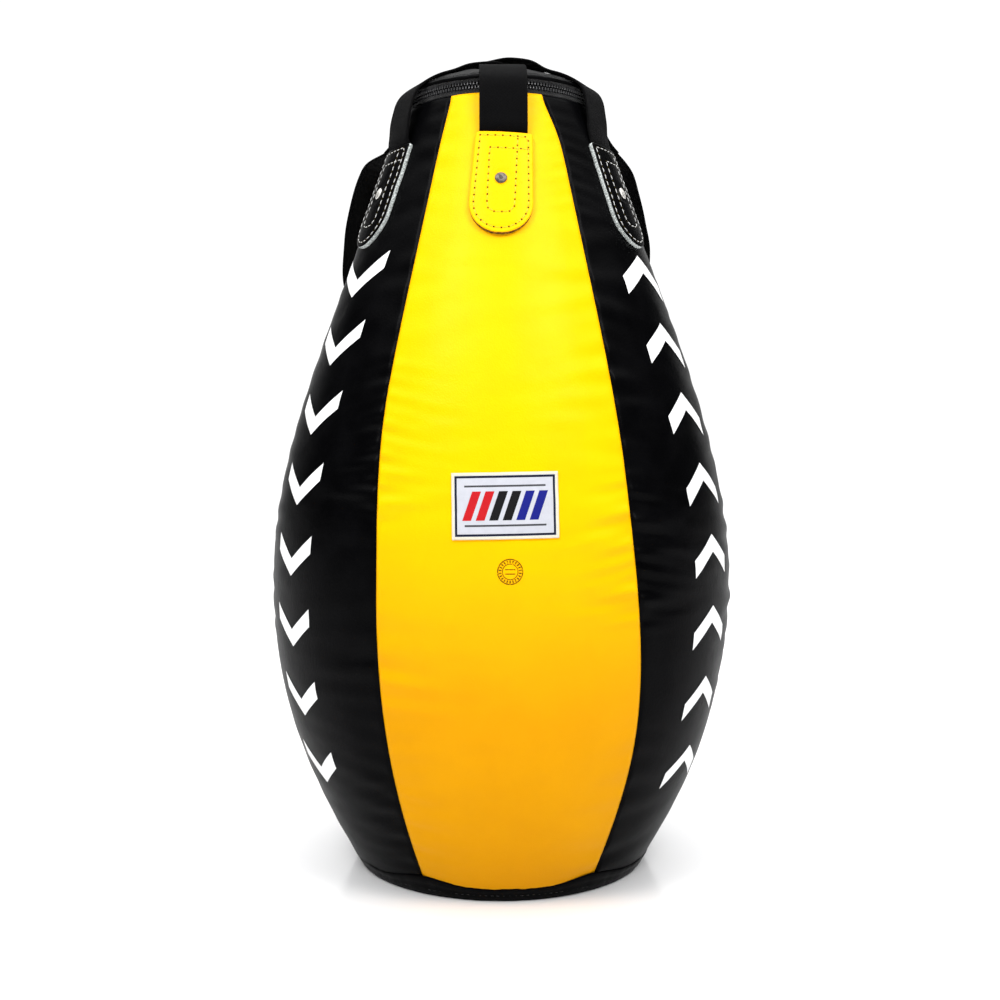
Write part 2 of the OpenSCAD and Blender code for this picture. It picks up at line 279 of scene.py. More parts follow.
# ---- Materials ----
GRAIN_SIZE = 1.5
WHITE_INK = (0.86, 0.86, 0.86)
YELLOW = (0.98, 0.49, 0.001)
YELLOW_DEEP = (0.95, 0.45, 0.001)
# painted shade: the yellow's colour low down, darker in place of the dimmer light there
YELLOW_SHADED_LOW = (0.68, 0.295, 0.001)
SHADE_FROM, SHADE_TO = 0.17, 0.44      # in metres: painted shade darkens the yellow below this, in place of dimmer light low down
BLACK = (0.0009, 0.0009, 0.0011)
BLACK_WORN = (0.0026, 0.0026, 0.0030)
# painted shade: the inside of a needle hole, and its rim
NEEDLE_SHADE = (0.010, 0.008, 0.001)
NEEDLE_RIM = (0.05, 0.035, 0.003)


def leather(name, base, dark, coat, specular):
    """Coated synthetic leather: fine pebble grain, soft mottling and faint scuffs."""
    s = Shader(name)
    s.set(Coat_Weight=coat, Coat_Roughness=0.22, Specular_IOR_Level=specular)
    grain = s.grain()
    pores = s.noise(0.55, 2.0)
    soft = s.noise(38.0, 3.0)
    scuff = s.noise(7.0, 5.0, rough=0.7).step(0.60, 0.78)
    s.colour(soft.step(0.3, 0.75) * 0.55 + scuff * 0.12, base, dark)
    s.rough(soft * 0.16 + scuff * 0.16 + 0.26)
    s.bump((soft, 0.5), (grain, 0.16), (pores, 0.05))
    return s


def yellow(name):
    """Yellow leather painted a little darker low down: painted shade for the dimmer light near the
    floor.
    """
    s = leather(name, YELLOW, YELLOW_DEEP, coat=0.0, specular=0.03)
    # painted shade: darker towards the bottom, standing in for the light's fall-off
    low = -s.split(s.place())[2].step(SHADE_FROM, SHADE_TO) + 1.0
    patchy = s.noise(60.0, 4.0) * 0.3 + 0.75
    s.colour((low * patchy).clamp(), s.base(), YELLOW_SHADED_LOW)
    return s


STAMP_X = 8.5             # where the stamp lies on the front panel
STAMP_Z = 340.0
STAMP_R = 11.6
STAMP_TICKS = 22
STAMP_INK = (0.06, 0.022, 0.002)


def front_leather():
    """The front panel's yellow leather, with a plain ink ring stamped under the label."""
    s = yellow("yellow_leather_stamped")
    u, v = s.uv()
    x, y = u - STAMP_X, v - STAMP_Z
    r = (x * x + y * y).sqrt()
    around = y.atan2(x) * (STAMP_TICKS / math.tau)
    outer = (r - STAMP_R).abs().less(0.6)
    inner = (r - STAMP_R * 0.62).abs().less(0.45)
    ticks = (around.fract() - 0.5).abs().less(0.27) * (r - STAMP_R * 0.81).abs().less(1.3)
    bars = (y.abs() - 2.0).abs().less(0.55) * x.abs().less(STAMP_R * 0.42)
    ink = outer.maxi(inner).maxi(ticks).maxi(bars)
    worn = s.noise(1.2, 3.0).step(0.28, 0.46)
    s.colour(ink * worn * 0.92, s.base(), STAMP_INK)
    return s.mat


def ink():
    """White screen-printed ink: a thin film with the leather's grain and small worn spots."""
    s = Shader("white_ink")
    s.set(Roughness=0.42, Specular_IOR_Level=0.35)
    worn = s.noise(2.4, 5.0, rough=0.75).step(0.66, 0.76)
    s.colour(worn, WHITE_INK, (0.25, 0.25, 0.25))
    s.bump((s.grain(), 0.12), (worn, -0.05))
    return s.mat


def cut_edge(name, pale, dark):
    """The raw, layered edge of a cut leather patch."""
    s = Shader(name)
    s.set(Roughness=0.8, Specular_IOR_Level=0.2)
    fibre = s.noise(1.1, 5.0, rough=0.7)
    layers = s.noise(2.6, 2.0, stretch=(1.0, 1.0, 1.6))
    s.colour((fibre * 0.6 + layers * 0.4).step(0.42, 0.64), dark, pale)
    s.bump((fibre, 0.35))
    return s.mat


def thread(name, colour, shade):
    """Twisted sewing thread."""
    s = Shader(name)
    s.set(Roughness=0.7, Sheen_Weight=0.25, Specular_IOR_Level=0.25)
    u, v = s.uv()
    twist = ((v * 4.2 + u * 2.0).sin() * 0.5 + 0.5)
    fuzz = s.noise(0.5, 2.0)
    s.colour(twist * 0.6 + fuzz * 0.4, shade, colour)
    s.bump((twist, 0.12))
    return s.mat


def hole_shade():
    """Needle holes, painted dark inside as painted shade, with a rough rim."""
    s = Shader("needle_hole")
    s.set(Roughness=0.95, Specular_IOR_Level=0.1)
    s.colour(s.noise(0.4, 2.0), NEEDLE_SHADE, NEEDLE_RIM)
    return s.mat


def webbing():
    """Heavy nylon webbing: a two-up twill rib with a tight, ribbed selvage."""
    s = Shader("webbing")
    s.set(Roughness=0.85, Sheen_Weight=0.015, Sheen_Roughness=0.4, Specular_IOR_Level=0.05)
    u, v = s.uv()
    rib, pick = 1.9, 1.7
    warp = (u * (math.tau / rib)).sin().abs()
    weft = ((v + (u / rib).floor().mod(2.0) * (pick / 2)) * (math.tau / pick)).sin() * 0.5 + 0.5
    weave = warp * weft
    edge = u.abs().step(WEBBING_W / 2 - 3.2, WEBBING_W / 2 - 2.6)
    ribs = (v * (math.tau / 1.1)).sin() * 0.5 + 0.5
    dust = s.noise(9.0, 5.0, rough=0.7).step(0.55, 0.8)
    s.colour(weave * 0.5 + dust * 0.35, (0.0008, 0.0008, 0.0010), (0.0034, 0.0034, 0.0038))
    s.bump((weave * (-edge + 1.0) + edge * ribs, 0.45), (s.noise(0.5, 2.0), 0.08))
    return s.mat


def cloth(name, light, dark, pitch=0.9):
    """Plain woven cloth, laid by the piece's own coordinates."""
    s = Shader(name)
    s.set(Roughness=0.85, Sheen_Weight=0.2, Specular_IOR_Level=0.2)
    x, y, z = (part * (math.pi / (pitch * MM)) for part in s.split(s.place()))
    weave = ((x + y).sin() * z.sin() + 1.0) * 0.5
    soft = s.noise(24.0, 4.0)
    s.colour(weave * 0.5 + soft * 0.5, dark, light)
    s.bump((weave, 0.2), (soft, 0.8))
    return s.mat


def teeth_plastic():
    """Moulded zip teeth, rubbed paler on their crowns."""
    s = Shader("zip_teeth")
    s.set(Specular_IOR_Level=0.5)
    rub = s.noise(1.3, 4.0, rough=0.7).step(0.5, 0.75)
    s.colour(rub, (0.008, 0.008, 0.009), (0.055, 0.055, 0.06))
    s.rough(rub * 0.25 + 0.28)
    s.bump((s.noise(0.8, 3.0), 0.06))
    return s.mat


def metal(name, light, dark, rough=0.28):
    """Worn plated metal with fine handling marks."""
    s = Shader(name)
    s.set(Metallic=1.0)
    marks = s.noise(1.6, 6.0, rough=0.75)
    tarnish = s.noise(5.0, 3.0).step(0.42, 0.68)
    s.colour(tarnish, light, dark)
    s.rough(marks * 0.3 + (rough - 0.1))
    s.bump((marks, 0.05))
    return s.mat


BAR_PITCH = 12.5           # the label's slanted bars: two red, two black, two blue
BAR_LEAN = 0.36
BAR_TALL = 13.5            # each of these is half the width or height of what is drawn
RULE_UP, RULE_LONG = 18.3, 38.0
LINE_IN, LINE_W = 4.0, 1.05
SELVAGE_W = 2.6


def label_weave():
    """A damask-woven label: pale ground, dark frame line and slanted bars in three colours."""
    s = Shader("label_weave")
    s.set(Roughness=0.75, Sheen_Weight=0.04, Specular_IOR_Level=0.12)
    u, v = s.uv()
    half_w, half_h = LABEL_W / 2, LABEL_H / 2
    across, up = u.abs(), v.abs()
    sides = (across - (half_w - LINE_IN)).abs().less(LINE_W) * up.less(half_h - 3.0)
    ends = (up - (half_h - LINE_IN)).abs().less(LINE_W) * across.less(half_w - 3.0)
    frame_line = sides.maxi(ends)
    selvage = across.more(half_w - SELVAGE_W).maxi(up.more(half_h - SELVAGE_W))
    lean = u + v * -BAR_LEAN
    bars = ((lean / BAR_PITCH).fract() - 0.5).abs().less(0.33)
    bars = bars * up.less(BAR_TALL) * lean.abs().less(3 * BAR_PITCH)
    red = bars * lean.less(-BAR_PITCH)
    blue = bars * lean.more(BAR_PITCH)
    black = bars * lean.abs().less(BAR_PITCH)
    rule = (up - RULE_UP).abs().less(0.9) * across.less(RULE_LONG)
    weave = ((u * (math.tau / 0.7)).sin() * (v * (math.tau / 0.7)).sin() + 1.0) * 0.5
    soft = s.noise(6.0, 4.0)
    ground = s.mix(weave * 0.4 + soft * 0.4, (0.40, 0.41, 0.46), (0.62, 0.63, 0.68))
    c = s.mix(red, ground, (0.45, 0.008, 0.012))
    c = s.mix(blue, c, (0.006, 0.010, 0.18))
    c = s.mix(black.maxi(rule * 0.9), c, (0.004, 0.004, 0.005))
    c = s.mix(frame_line, c, (0.006, 0.008, 0.022))
    s.colour(selvage * 0.5, c, (0.80, 0.72, 0.40))
    s.bump((weave, 0.12), (bars.maxi(frame_line), 0.14))
    return s.mat


def rags():
    """Shredded textile stuffing: scraps of many faded colours."""
    s = Shader("stuffing")
    s.set(Roughness=0.95, Sheen_Weight=0.3, Specular_IOR_Level=0.1)
    a, b, _ = s.split(s.voronoi(22.0)["Color"])
    c = s.mix(a.step(0.45, 0.55), (0.42, 0.38, 0.32), (0.16, 0.19, 0.25))
    c = s.mix(b.step(0.70, 0.72), c, (0.33, 0.10, 0.07))
    s.colour(s.noise(1.5, 4.0) * 0.5, c, (0.08, 0.08, 0.08))
    s.bump((s.noise(3.0, 5.0), 1.2))
    return s.mat


# ---- Shape of the bag ----
OUTLINE_STEPS = 400


def bezier(p, t):
    p = np.array(p, float)
    k = np.stack([(1 - t) ** 3, 3 * (1 - t) ** 2 * t, 3 * (1 - t) * t * t, t ** 3], -1)
    return k @ p


def make_outline():
    """The same two cubic curves as the frame's outline, as (z, r) pairs in rising z."""
    t = np.linspace(0, 1, OUTLINE_STEPS)
    low = bezier([(BASE_R, 0), (BASE_R + 54, 90), (BELLY_R, BELLY_Z - 130), (BELLY_R, BELLY_Z)], t)
    top = bezier([(BELLY_R, BELLY_Z), (BELLY_R, BELLY_Z + 150),
                  (RIM_R + NECK_SLOPE * 250, RIM_Z - 250), (RIM_R, RIM_Z)], t)
    both = np.concatenate([low, top[1:]])
    return both[:, 1], both[:, 0]


OUT_Z, OUT_R = make_outline()


def plain_r(z):
    return np.interp(z, OUT_Z, OUT_R)


def ease(t):
    t = np.clip(t, 0, 1)
    return t * t * (3 - 2 * t)


def bell(x, middle, width):
    return np.exp(-((x - middle) / width) ** 2)


# Azimuth of each seam at a height. The two beside the front panel wander a little, as sewn.
def seam_left(z):
    return -30.8 + 2.5 * ease((520 - z) / 200) + 1.3 * bell(z, 827, 40)


def seam_right(z):
    return 30.3 - 6.5 * bell(z, 832, 38) + 4.3 * ease((420 - z) / 290)


def straight_seam(az):
    return lambda z: az + 0 * z


SEAMS = [seam_left, seam_right, *map(straight_seam, (90, 148, 212, 270))]


def wrap(a):
    """An angle brought within half a turn of 0."""
    return (a + 180) % 360 - 180


def seam_distance(az, z):
    """Distance along the leather to the nearest seam, its side (-1 or 1) and its number."""
    gaps = np.stack([wrap(az - s(z)) for s in SEAMS])
    nearest = np.abs(gaps).argmin(0)
    g = np.take_along_axis(gaps, nearest[None], 0)[0]
    return np.radians(np.abs(g)) * plain_r(z), np.sign(g), nearest


PUFF, PUFF_REACH = 1.1, 34            # how far the leather swells between seams
SEAM_DIP, DIP_REACH = 1.5, 2.3        # how far it is drawn in at a seam
LUMP = 0.55
THREAD_DIPS, DIP_PITCH = 0.12, 7.5    # the small dips of the seam's own stitches
CREASE = 0.22
DEEPEST = -1.45           # below this the leather would sink into the tape behind the seam
_waves = random.Random(7)
LUMPS = [(_waves.uniform(1, 7), _waves.uniform(0.004, 0.02), _waves.uniform(0, 6.28),
          _waves.uniform(0.15, 0.4)) for _ in range(16)]
PUCKER_WAVES = [(_waves.uniform(13, 44), _waves.uniform(0, 6.28)) for _ in range(7)]
PUCKER = 1.05             # depth of the puckers that run off the seams


def relief(az, z):
    """How far the stuffed leather stands from its plain outline."""
    d, side, n = seam_distance(az, z)
    h = PUFF * (1 - bell(d, 0, PUFF_REACH)) - SEAM_DIP * bell(d, 0, DIP_REACH)
    lump = 0
    for k, w, p, a in LUMPS:
        lump = lump + a * np.sin(round(k) * np.radians(az) + w * z * 1.6 + p)
    h = h + LUMP * lump * ease(d / 30)
    pull = 0
    for i, (length, phase) in enumerate(PUCKER_WAVES):
        gate = ease(np.sin(z / (38 + 9 * i) + phase * 3 + 1.7 * n) * 1.4 - 0.1)
        fan = z + side * 5 - 0.25 * d * np.sin(z / 60 + 2.0 * n + i)
        wave = np.sin(math.tau * fan / length + phase + 2.1 * n)
        pull = pull + gate * wave * np.exp(-d / (14 + length))
    belly = 0.30 + 0.70 * bell(z, 330, 200)
    h = h + PUCKER * belly * pull * ease(d / 3)
    h = h + THREAD_DIPS * np.sin(math.tau * z / DIP_PITCH) * bell(d, 0, 5)
    creases = np.sin(np.radians(az) * 19 + 0.9 * np.sin(z / 71)) * bell(z, 520, 210)
    return np.maximum(h + CREASE * creases * ease(d / 25), DEEPEST)


RIM_ROLL = 1.8


def skin_r(az, z):
    roll = 1.1 * ease((z - (RIM_Z - RIM_ROLL)) / RIM_ROLL) ** 2
    return plain_r(z) + relief(az, z) * ease((RIM_Z - z) / 8 + 0.25) * ease(z / 14 + 0.2) - roll


def slope(z):
    return (plain_r(z + 1) - plain_r(z - 1)) / 2


def polar(az, r, z):
    a = np.radians(az)
    return np.stack([r * np.sin(a), -r * np.cos(a), z + 0 * a], -1)


def on_skin(az, z, h):
    """A point h out from the leather, square to it."""
    m = -slope(z)
    n = np.sqrt(1 + m * m)
    return polar(az, skin_r(az, z) + h / n, z + h * m / n)


# ---- Mesh helpers ----
def mesh(name, verts, faces, looks, uvs=None, face_mats=None, smooth=True):
    """An object from millimetre vertices. uvs holds one millimetre pair for each vertex.

    looks names its materials in MAT.
    """
    data = bpy.data.meshes.new(name)
    data.from_pydata((np.reshape(verts, (-1, 3)) * MM).tolist(), [], faces)
    if uvs is not None:
        layer = data.uv_layers.new(name="UVMap")
        index = np.empty(len(data.loops), int)
        data.loops.foreach_get("vertex_index", index)
        layer.data.foreach_set("uv", (np.reshape(uvs, (-1, 2))[index] * MM).ravel())
    for look in looks:
        data.materials.append(MAT[look])
    if face_mats is not None:
        data.polygons.foreach_set("material_index", face_mats)
    data.polygons.foreach_set("use_smooth", [smooth] * len(data.polygons))
    data.update()
    obj = bpy.data.objects.new(name, data)
    bpy.context.scene.collection.objects.link(obj)
    return obj


def grid_faces(rows, cols, closed=False):
    """Quads of a grid whose rows rise and whose columns run towards +azimuth."""
    last = cols if closed else cols - 1
    return [(r * cols + c, r * cols + (c + 1) % cols,
             (r + 1) * cols + (c + 1) % cols, (r + 1) * cols + c)
            for r in range(rows - 1) for c in range(last)]


def drum_faces(rows, cols):
    """A grid that closes on itself, with a cap below and above."""
    caps = [tuple(reversed(range(cols))), tuple(range((rows - 1) * cols, rows * cols))]
    return grid_faces(rows, cols, closed=True) + caps


def tube_faces(rings, sides, joined=False, capped=True):
    """Quads between the rings of a tube. joined closes it into a hoop, which needs no caps."""
    faces = [(r * sides + j, (r + 1) % rings * sides + j,
              (r + 1) % rings * sides + (j + 1) % sides, r * sides + (j + 1) % sides)
             for r in range(rings if joined else rings - 1) for j in range(sides)]
    if capped and not joined:
        faces += [tuple(range(sides)), tuple(reversed(range((rings - 1) * sides, rings * sides)))]
    return faces


def grid_rim(rows, cols):
    """The outermost points of a grid, once round, as (row, column)."""
    rim = [(0, c) for c in range(cols)] + [(r, cols - 1) for r in range(1, rows)]
    rim += [(rows - 1, c) for c in range(cols - 2, -1, -1)]
    return rim + [(r, 0) for r in range(rows - 2, 0, -1)]


class Batch:
    """Collects many small shapes for one mesh."""

    def __init__(self):
        self.verts, self.faces, self.uvs, self.mats = [], [], [], []
        self.count = 0

    def add(self, verts, faces, uvs=None, mat=0):
        verts = np.reshape(verts, (-1, 3))
        self.verts.append(verts)
        self.faces += [tuple(i + self.count for i in f) for f in faces]
        self.uvs.append(np.zeros((len(verts), 2)) if uvs is None else np.reshape(uvs, (-1, 2)))
        self.mats += [mat] * len(faces)
        self.count += len(verts)

    def place(self, name, looks, body, slot, *nodes, smooth=True):
        """Makes one mesh of the whole batch and gives it to the frame."""
        place(mesh(name, np.concatenate(self.verts), self.faces, looks,
                   np.concatenate(self.uvs), self.mats, smooth), body, slot, *nodes)


def place(obj, body, slot, *nodes):
    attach(obj, body)
    if nodes:
        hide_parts(*nodes)


# ---- Panels ----
PANEL_ROWS, PANEL_COLS = 300, 76
LEATHER_T = 1.6


def panel(name, number, look, slot, middle):
    """One gore: a curved sheet between its seam and the next, finer towards them."""
    z = PANEL_LOW + (RIM_Z - PANEL_LOW) * np.linspace(0, 1, PANEL_ROWS)
    x = np.linspace(-1, 1, PANEL_COLS)
    u = 0.5 + 0.5 * (0.45 * x + 0.55 * np.sin(x * math.pi / 2))
    zz, uu = np.meshgrid(z, u, indexing="ij")
    a0, a1 = SEAMS[number](zz), SEAMS[(number + 1) % len(SEAMS)](zz)
    a1 = np.where(a1 < a0, a1 + 360, a1)
    az = a0 + (a1 - a0) * uu
    verts = polar(az, skin_r(az, zz), zz)
    uvs = np.stack([np.radians(az - middle) * plain_r(zz), zz], -1)
    obj = mesh(name, verts, grid_faces(*zz.shape), (look,), uvs)
    thick = obj.modifiers.new("thickness", "SOLIDIFY")
    thick.thickness, thick.offset = LEATHER_T * MM, -1.0
    place(obj, "bag", slot, name)


# ---- Patches ----
PATCH_MID = PATCH_LOW + PATCH_W / 2
STITCH_IN = 4.6
STITCH_PITCH = 7.4
CORNER = 3.0


def chord(radius, d):
    """Half the width of a circle at a distance d past its middle."""
    return np.sqrt(np.clip(radius ** 2 - np.clip(d, 0, None) ** 2, 0, None))


def patch_half_width(z):
    """Half the patch's width at a height."""
    k = (PATCH_TOP - z) / (PATCH_TOP - PATCH_MID)
    straight = PATCH_TOP_W / 2 + (PATCH_W - PATCH_TOP_W) / 2 * np.clip(k, 0, 1)
    rounded = chord(PATCH_W / 2, PATCH_MID - z)
    corner = CORNER - chord(CORNER, z - (PATCH_TOP - CORNER))
    return np.where(z < PATCH_MID, rounded, straight) - corner


def patch_inset(t, z):
    """Distance of a point from the patch's outline, inward."""
    side = patch_half_width(z) - np.abs(t)
    low = PATCH_W / 2 - np.hypot(t, np.clip(PATCH_MID - z, 0, None))
    return np.minimum(np.minimum(side, low), PATCH_TOP - z)


BOX_L, BOX_R = -13.6, 13.2        # the inner stitched box
BOX_TOP = PATCH_TOP - 18.5
BOX_LOW = PATCH_TOP - 88.5
BOX_CORNER = 8.0


def stitch_paths():
    """The patch's stitch lines as lists of (across, height)."""
    w, r = PATCH_TOP_W / 2 - STITCH_IN, PATCH_W / 2 - STITCH_IN
    arc = [(r * math.cos(a), PATCH_MID + r * math.sin(a))
           for a in np.linspace(0, -math.pi, 40)]
    rim = [(-w, PATCH_TOP - STITCH_IN), (w, PATCH_TOP - STITCH_IN), *arc]
    rim.append(rim[0])
    c = BOX_CORNER
    low = [(middle + c * math.cos(a), BOX_LOW + c + c * math.sin(a))
           for middle, turn in ((BOX_R - c, 0), (BOX_L + c, -math.pi / 2))
           for a in np.linspace(turn, turn - math.pi / 2, 8)]
    box = [(BOX_R, PATCH_TOP - STITCH_IN - 3), *low, (BOX_L, BOX_TOP), (w + 0.5, BOX_TOP)]
    return [rim, box]


def walk(path, pitch):
    """Points about one pitch apart along a line."""
    p = np.array(path, float)
    lengths = np.hypot(*(p[1:] - p[:-1]).T)
    at = np.concatenate([[0], np.cumsum(lengths)])
    n = max(1, round(at[-1] / pitch))
    s = np.linspace(0, at[-1], n + 1)
    return np.stack([np.interp(s, at, p[:, 0]), np.interp(s, at, p[:, 1])], -1)


def line_distance(t, z, path):
    best = np.full(np.shape(t), 1e9)
    for (ax, ay), (bx, by) in zip(path[:-1], path[1:]):
        dx, dy = bx - ax, by - ay
        k = np.clip(((t - ax) * dx + (z - ay) * dy) / (dx * dx + dy * dy + 1e-9), 0, 1)
        best = np.minimum(best, np.hypot(t - ax - k * dx, z - ay - k * dy))
    return best


def patch_height(t, z):
    d = patch_inset(t, z)
    h = PATCH_T - 0.8 * (1 - np.clip(d / 1.4, 0, 1)) ** 2 + 0.35 * ease(d / 16)
    for path in stitch_paths():
        h = h - 0.22 * bell(line_distance(t, z, path), 0, 1.5)
    return h - 0.5 * bell(np.hypot(t, z - RIVET_Z), 8.0, 2.5)


def patch_point(az, t, z, h, tilt=0.0):
    """A point of a patch. tilt is how far the patch is sewn on out of true, in radians."""
    across, up = t + tilt * (z - PATCH_MID), z - tilt * t
    return on_skin(az + np.degrees(across / plain_r(up)), up, h)


STITCH_RINGS, STITCH_SIDES = 5, 6
STITCH_GAP = 0.13         # the part of a pitch that is bare at each end of a stitch
THREAD_UP, THREAD_SUNK = 0.22, -0.3


def unit(v):
    return v / np.linalg.norm(v)


def stitch(batch, a, m, b, normal, radius, mat):
    """A short tube from a over m to b, which dips into the leather at both ends."""
    side = unit(np.cross(b - a, normal))
    verts, uvs = [], []
    for k in np.linspace(0, 1, STITCH_RINGS):
        c = (1 - k) ** 2 * a + 2 * k * (1 - k) * (2 * m - (a + b) / 2) + k * k * b
        swell = radius * (0.55 + 0.45 * math.sin(math.pi * (k * 0.8 + 0.1)))
        for j in range(STITCH_SIDES):
            p = math.tau * j / STITCH_SIDES
            verts.append(c + swell * (side * math.cos(p) + normal * 0.8 * math.sin(p)))
            uvs.append((j * 0.6, k * np.linalg.norm(b - a)))
    batch.add(verts, tube_faces(STITCH_RINGS, STITCH_SIDES), uvs, mat)


def sew(batch, path, pitch, radius, surface, mat, hole_r=0.35, hole_up=0.08):
    """Stitches along a path, in material mat, and their holes, in the material after it.

    surface(points, h) puts (across, height) points h above the leather.
    """
    spots = walk(path, pitch)
    for a, b in zip(spots[:-1], spots[1:]):
        run = b - a
        start, end = a + run * STITCH_GAP, b - run * STITCH_GAP
        middle = (start + end) / 2
        ends = surface(np.array([start, middle, end]),
                       np.array([THREAD_SUNK, THREAD_UP, THREAD_SUNK]))
        up = unit(surface(np.array([middle]), np.array([2.0]))[0] - ends[1])
        stitch(batch, *ends, up, radius, mat)
    around = [(math.cos(p), math.sin(p)) for p in np.linspace(0, math.tau, 7)[:-1]]
    for s in spots:
        ring = np.array([s] + [s + hole_r * np.array(q) for q in around])
        verts = surface(ring, np.array([hole_up - 0.25] + [hole_up] * 6))
        batch.add(verts, [(0, j + 1, (j + 1) % 6 + 1) for j in range(6)], None, mat + 1)


PATCH_ROWS, PATCH_COLS = 90, 49


# The wall round a patch, from its face down: part of the height, and how far it stands out
WALL = ((1.0, 0.0), (0.72, 0.35), (0.3, 0.45), (0.0, 0.1), (-0.06, -0.8))
PATCH_LOOKS = {
    "yellow": ("yellow", "yellow_edge_shadowed", "yellow_thread", "hole"),
    "black": ("black", "pale_edge", "white_thread", "hole"),
}


def patch(name, az, colour, tilt):
    """A strap patch: a thick leather tab with rounded shoulders, raw edges and its stitching."""
    x = np.linspace(-1, 1, PATCH_COLS)
    across = 0.4 * x + 0.6 * np.sin(x * math.pi / 2)
    k = np.linspace(0, 1, PATCH_ROWS)
    down = 0.55 * k + 0.45 * (0.5 - 0.5 * np.cos(k * math.pi))
    z = PATCH_TOP - 0.01 - (PATCH_TOP - PATCH_LOW - 0.25) * down
    zz, aa = np.meshgrid(z[::-1], across, indexing="ij")
    tt = aa * np.maximum(patch_half_width(zz), 0.6)
    top = patch_point(az, tt, zz, patch_height(tt, zz), tilt)
    batch = Batch()
    batch.add(top, grid_faces(*tt.shape), np.stack([tt, zz], -1))
    rim = grid_rim(*tt.shape)
    rt = np.array([tt[i] for i in rim])
    rz = np.array([zz[i] for i in rim])
    rh = patch_height(rt, rz)
    mid_z = (PATCH_TOP + PATCH_LOW) / 2
    wall = []
    for level, out in WALL:
        grow = 1 + out / np.maximum(np.hypot(rt, 18), 1)
        edge_z = mid_z + (rz - mid_z) * (1 + out / 55)
        wall.append(patch_point(az, rt * grow, edge_z, rh * level, tilt))
    wall_uv = [(c, r) for r in range(len(WALL)) for c in range(len(rim))]
    batch.add(wall, tube_faces(len(WALL), len(rim), capped=False), wall_uv, 1)

    def surface(p, h):
        return patch_point(az, p[:, 0], p[:, 1], patch_height(p[:, 0], p[:, 1]) + h, tilt)

    for path in stitch_paths():
        sew(batch, path, STITCH_PITCH, 0.5, surface, 2, 1.0, 0.22)
    batch.place(name, PATCH_LOOKS[colour], "bag", colour + "_leather", name)


RIVET_SIDES = 40
RIVET_TIP = 1.35
# The rivet head's rings from its tip outward, as (radius, height)
RIVET_RINGS = ((1.6, 1.36), (3.2, 1.3), (4.6, 1.05), (5.5, 0.7), (6.2, 0.35), (6.2, 0.05),
               (5.9, -0.9))


def rivet_cap(az):
    """A domed rivet head that sits square on its patch, with a pressed rim."""
    z0 = np.array([RIVET_Z])
    centre = patch_point(az, np.zeros(1), z0, patch_height(np.zeros(1), z0) + 0.25)[0]
    m = -slope(RIVET_Z)
    a = math.radians(az)
    out = np.array([math.sin(a), -math.cos(a), m]) / math.sqrt(1 + m * m)
    side = np.array([math.cos(a), math.sin(a), 0.0])
    up = np.cross(out, side)
    verts = [centre + r * (math.cos(p) * side + math.sin(p) * up) + h * out
             for r, h in RIVET_RINGS for p in np.linspace(0, math.tau, RIVET_SIDES + 1)[:-1]]
    verts.append(centre + RIVET_TIP * out)
    tip = len(verts) - 1
    faces = [((j + 1) % RIVET_SIDES, tip, j) for j in range(RIVET_SIDES)]
    sides = tube_faces(len(RIVET_RINGS), RIVET_SIDES, capped=False)
    return verts, faces + [q[::-1] for q in sides]


# ---- Webbing ----
def spline(points, spacing):
    """A smooth line through [distance, height] points, resampled evenly."""
    p = np.array(points, float)
    q = np.concatenate([[2 * p[0] - p[1]], p, [2 * p[-1] - p[-2]]])
    fine = []
    for i in range(len(p) - 1):
        a, b, c, d = q[i], q[i + 1], q[i + 2], q[i + 3]
        t = np.linspace(0, 1, 24, endpoint=False)[:, None]
        fine.append(0.5 * (2 * b + (c - a) * t + (2 * a - 5 * b + 4 * c - d) * t * t
                           + (3 * b - a - 3 * c + d) * t ** 3))
    fine = np.concatenate([*fine, p[-1:]])
    at = np.concatenate([[0], np.cumsum(np.hypot(*(fine[1:] - fine[:-1]).T))])
    s = np.linspace(0, at[-1], max(4, int(at[-1] / spacing)) + 1)
    return np.stack([np.interp(s, at, fine[:, 0]), np.interp(s, at, fine[:, 1])], -1), s


# Half of the webbing's upper face as (across, height), then the whole section, once round
_half = [(0, 1.4), (6.5, 1.4), (13, 1.4), (20, 1.4), (23.6, 1.35), (24.7, 0.9), (25.0, 0.0)]
_upper = [(-x, h) for x, h in _half[:0:-1]] + _half
SECTION = _upper + [(x, -h) for x, h in _upper[-2:0:-1]]
HUG_Z = 812.0             # below this height webbing still follows the neck's round


def band(name, az, line, seed):
    """A webbing strip whose middle follows [distance to the front, height] points.

    The first half of it follows the neck's round where it lies low.
    """
    p, s = spline(line, 3.5)
    d = np.gradient(p, axis=0)
    d = d / np.hypot(d[:, 0], d[:, 1])[:, None]
    normal = np.stack([-d[:, 1], d[:, 0]], -1)
    rng = random.Random(seed)
    phase = [rng.uniform(0, 6.28) for _ in range(4)]
    verts, uvs = [], []
    a = math.radians(az)
    out, side = np.array([math.sin(a), -math.cos(a)]), np.array([math.cos(a), math.sin(a)])
    for i, (rho, z) in enumerate(p):
        hug = float(ease((HUG_Z - z) / 26)) if i < len(p) / 2 else 0.0
        ripple = 0.35 * math.sin(s[i] / 17 + phase[0]) + 0.25 * math.sin(s[i] / 7.3 + phase[1])
        for x, h in SECTION:
            lift = h + ripple * (x / 25) ** 2 * 0.8 + 0.2 * math.sin(s[i] / 31 + x / 9 + phase[2])
            q = np.array([rho, z]) + normal[i] * lift
            bent = math.copysign(math.sqrt(max(q[0] ** 2 - x * x, 1.0)), q[0])
            xy = out * (q[0] + (bent - q[0]) * hug) + side * x
            verts.append((xy[0], xy[1], q[1]))
            uvs.append((x if h >= 0 else -x, s[i]))
    obj = mesh(name, verts, tube_faces(len(p), len(SECTION)), ("webbing",), uvs)
    return obj


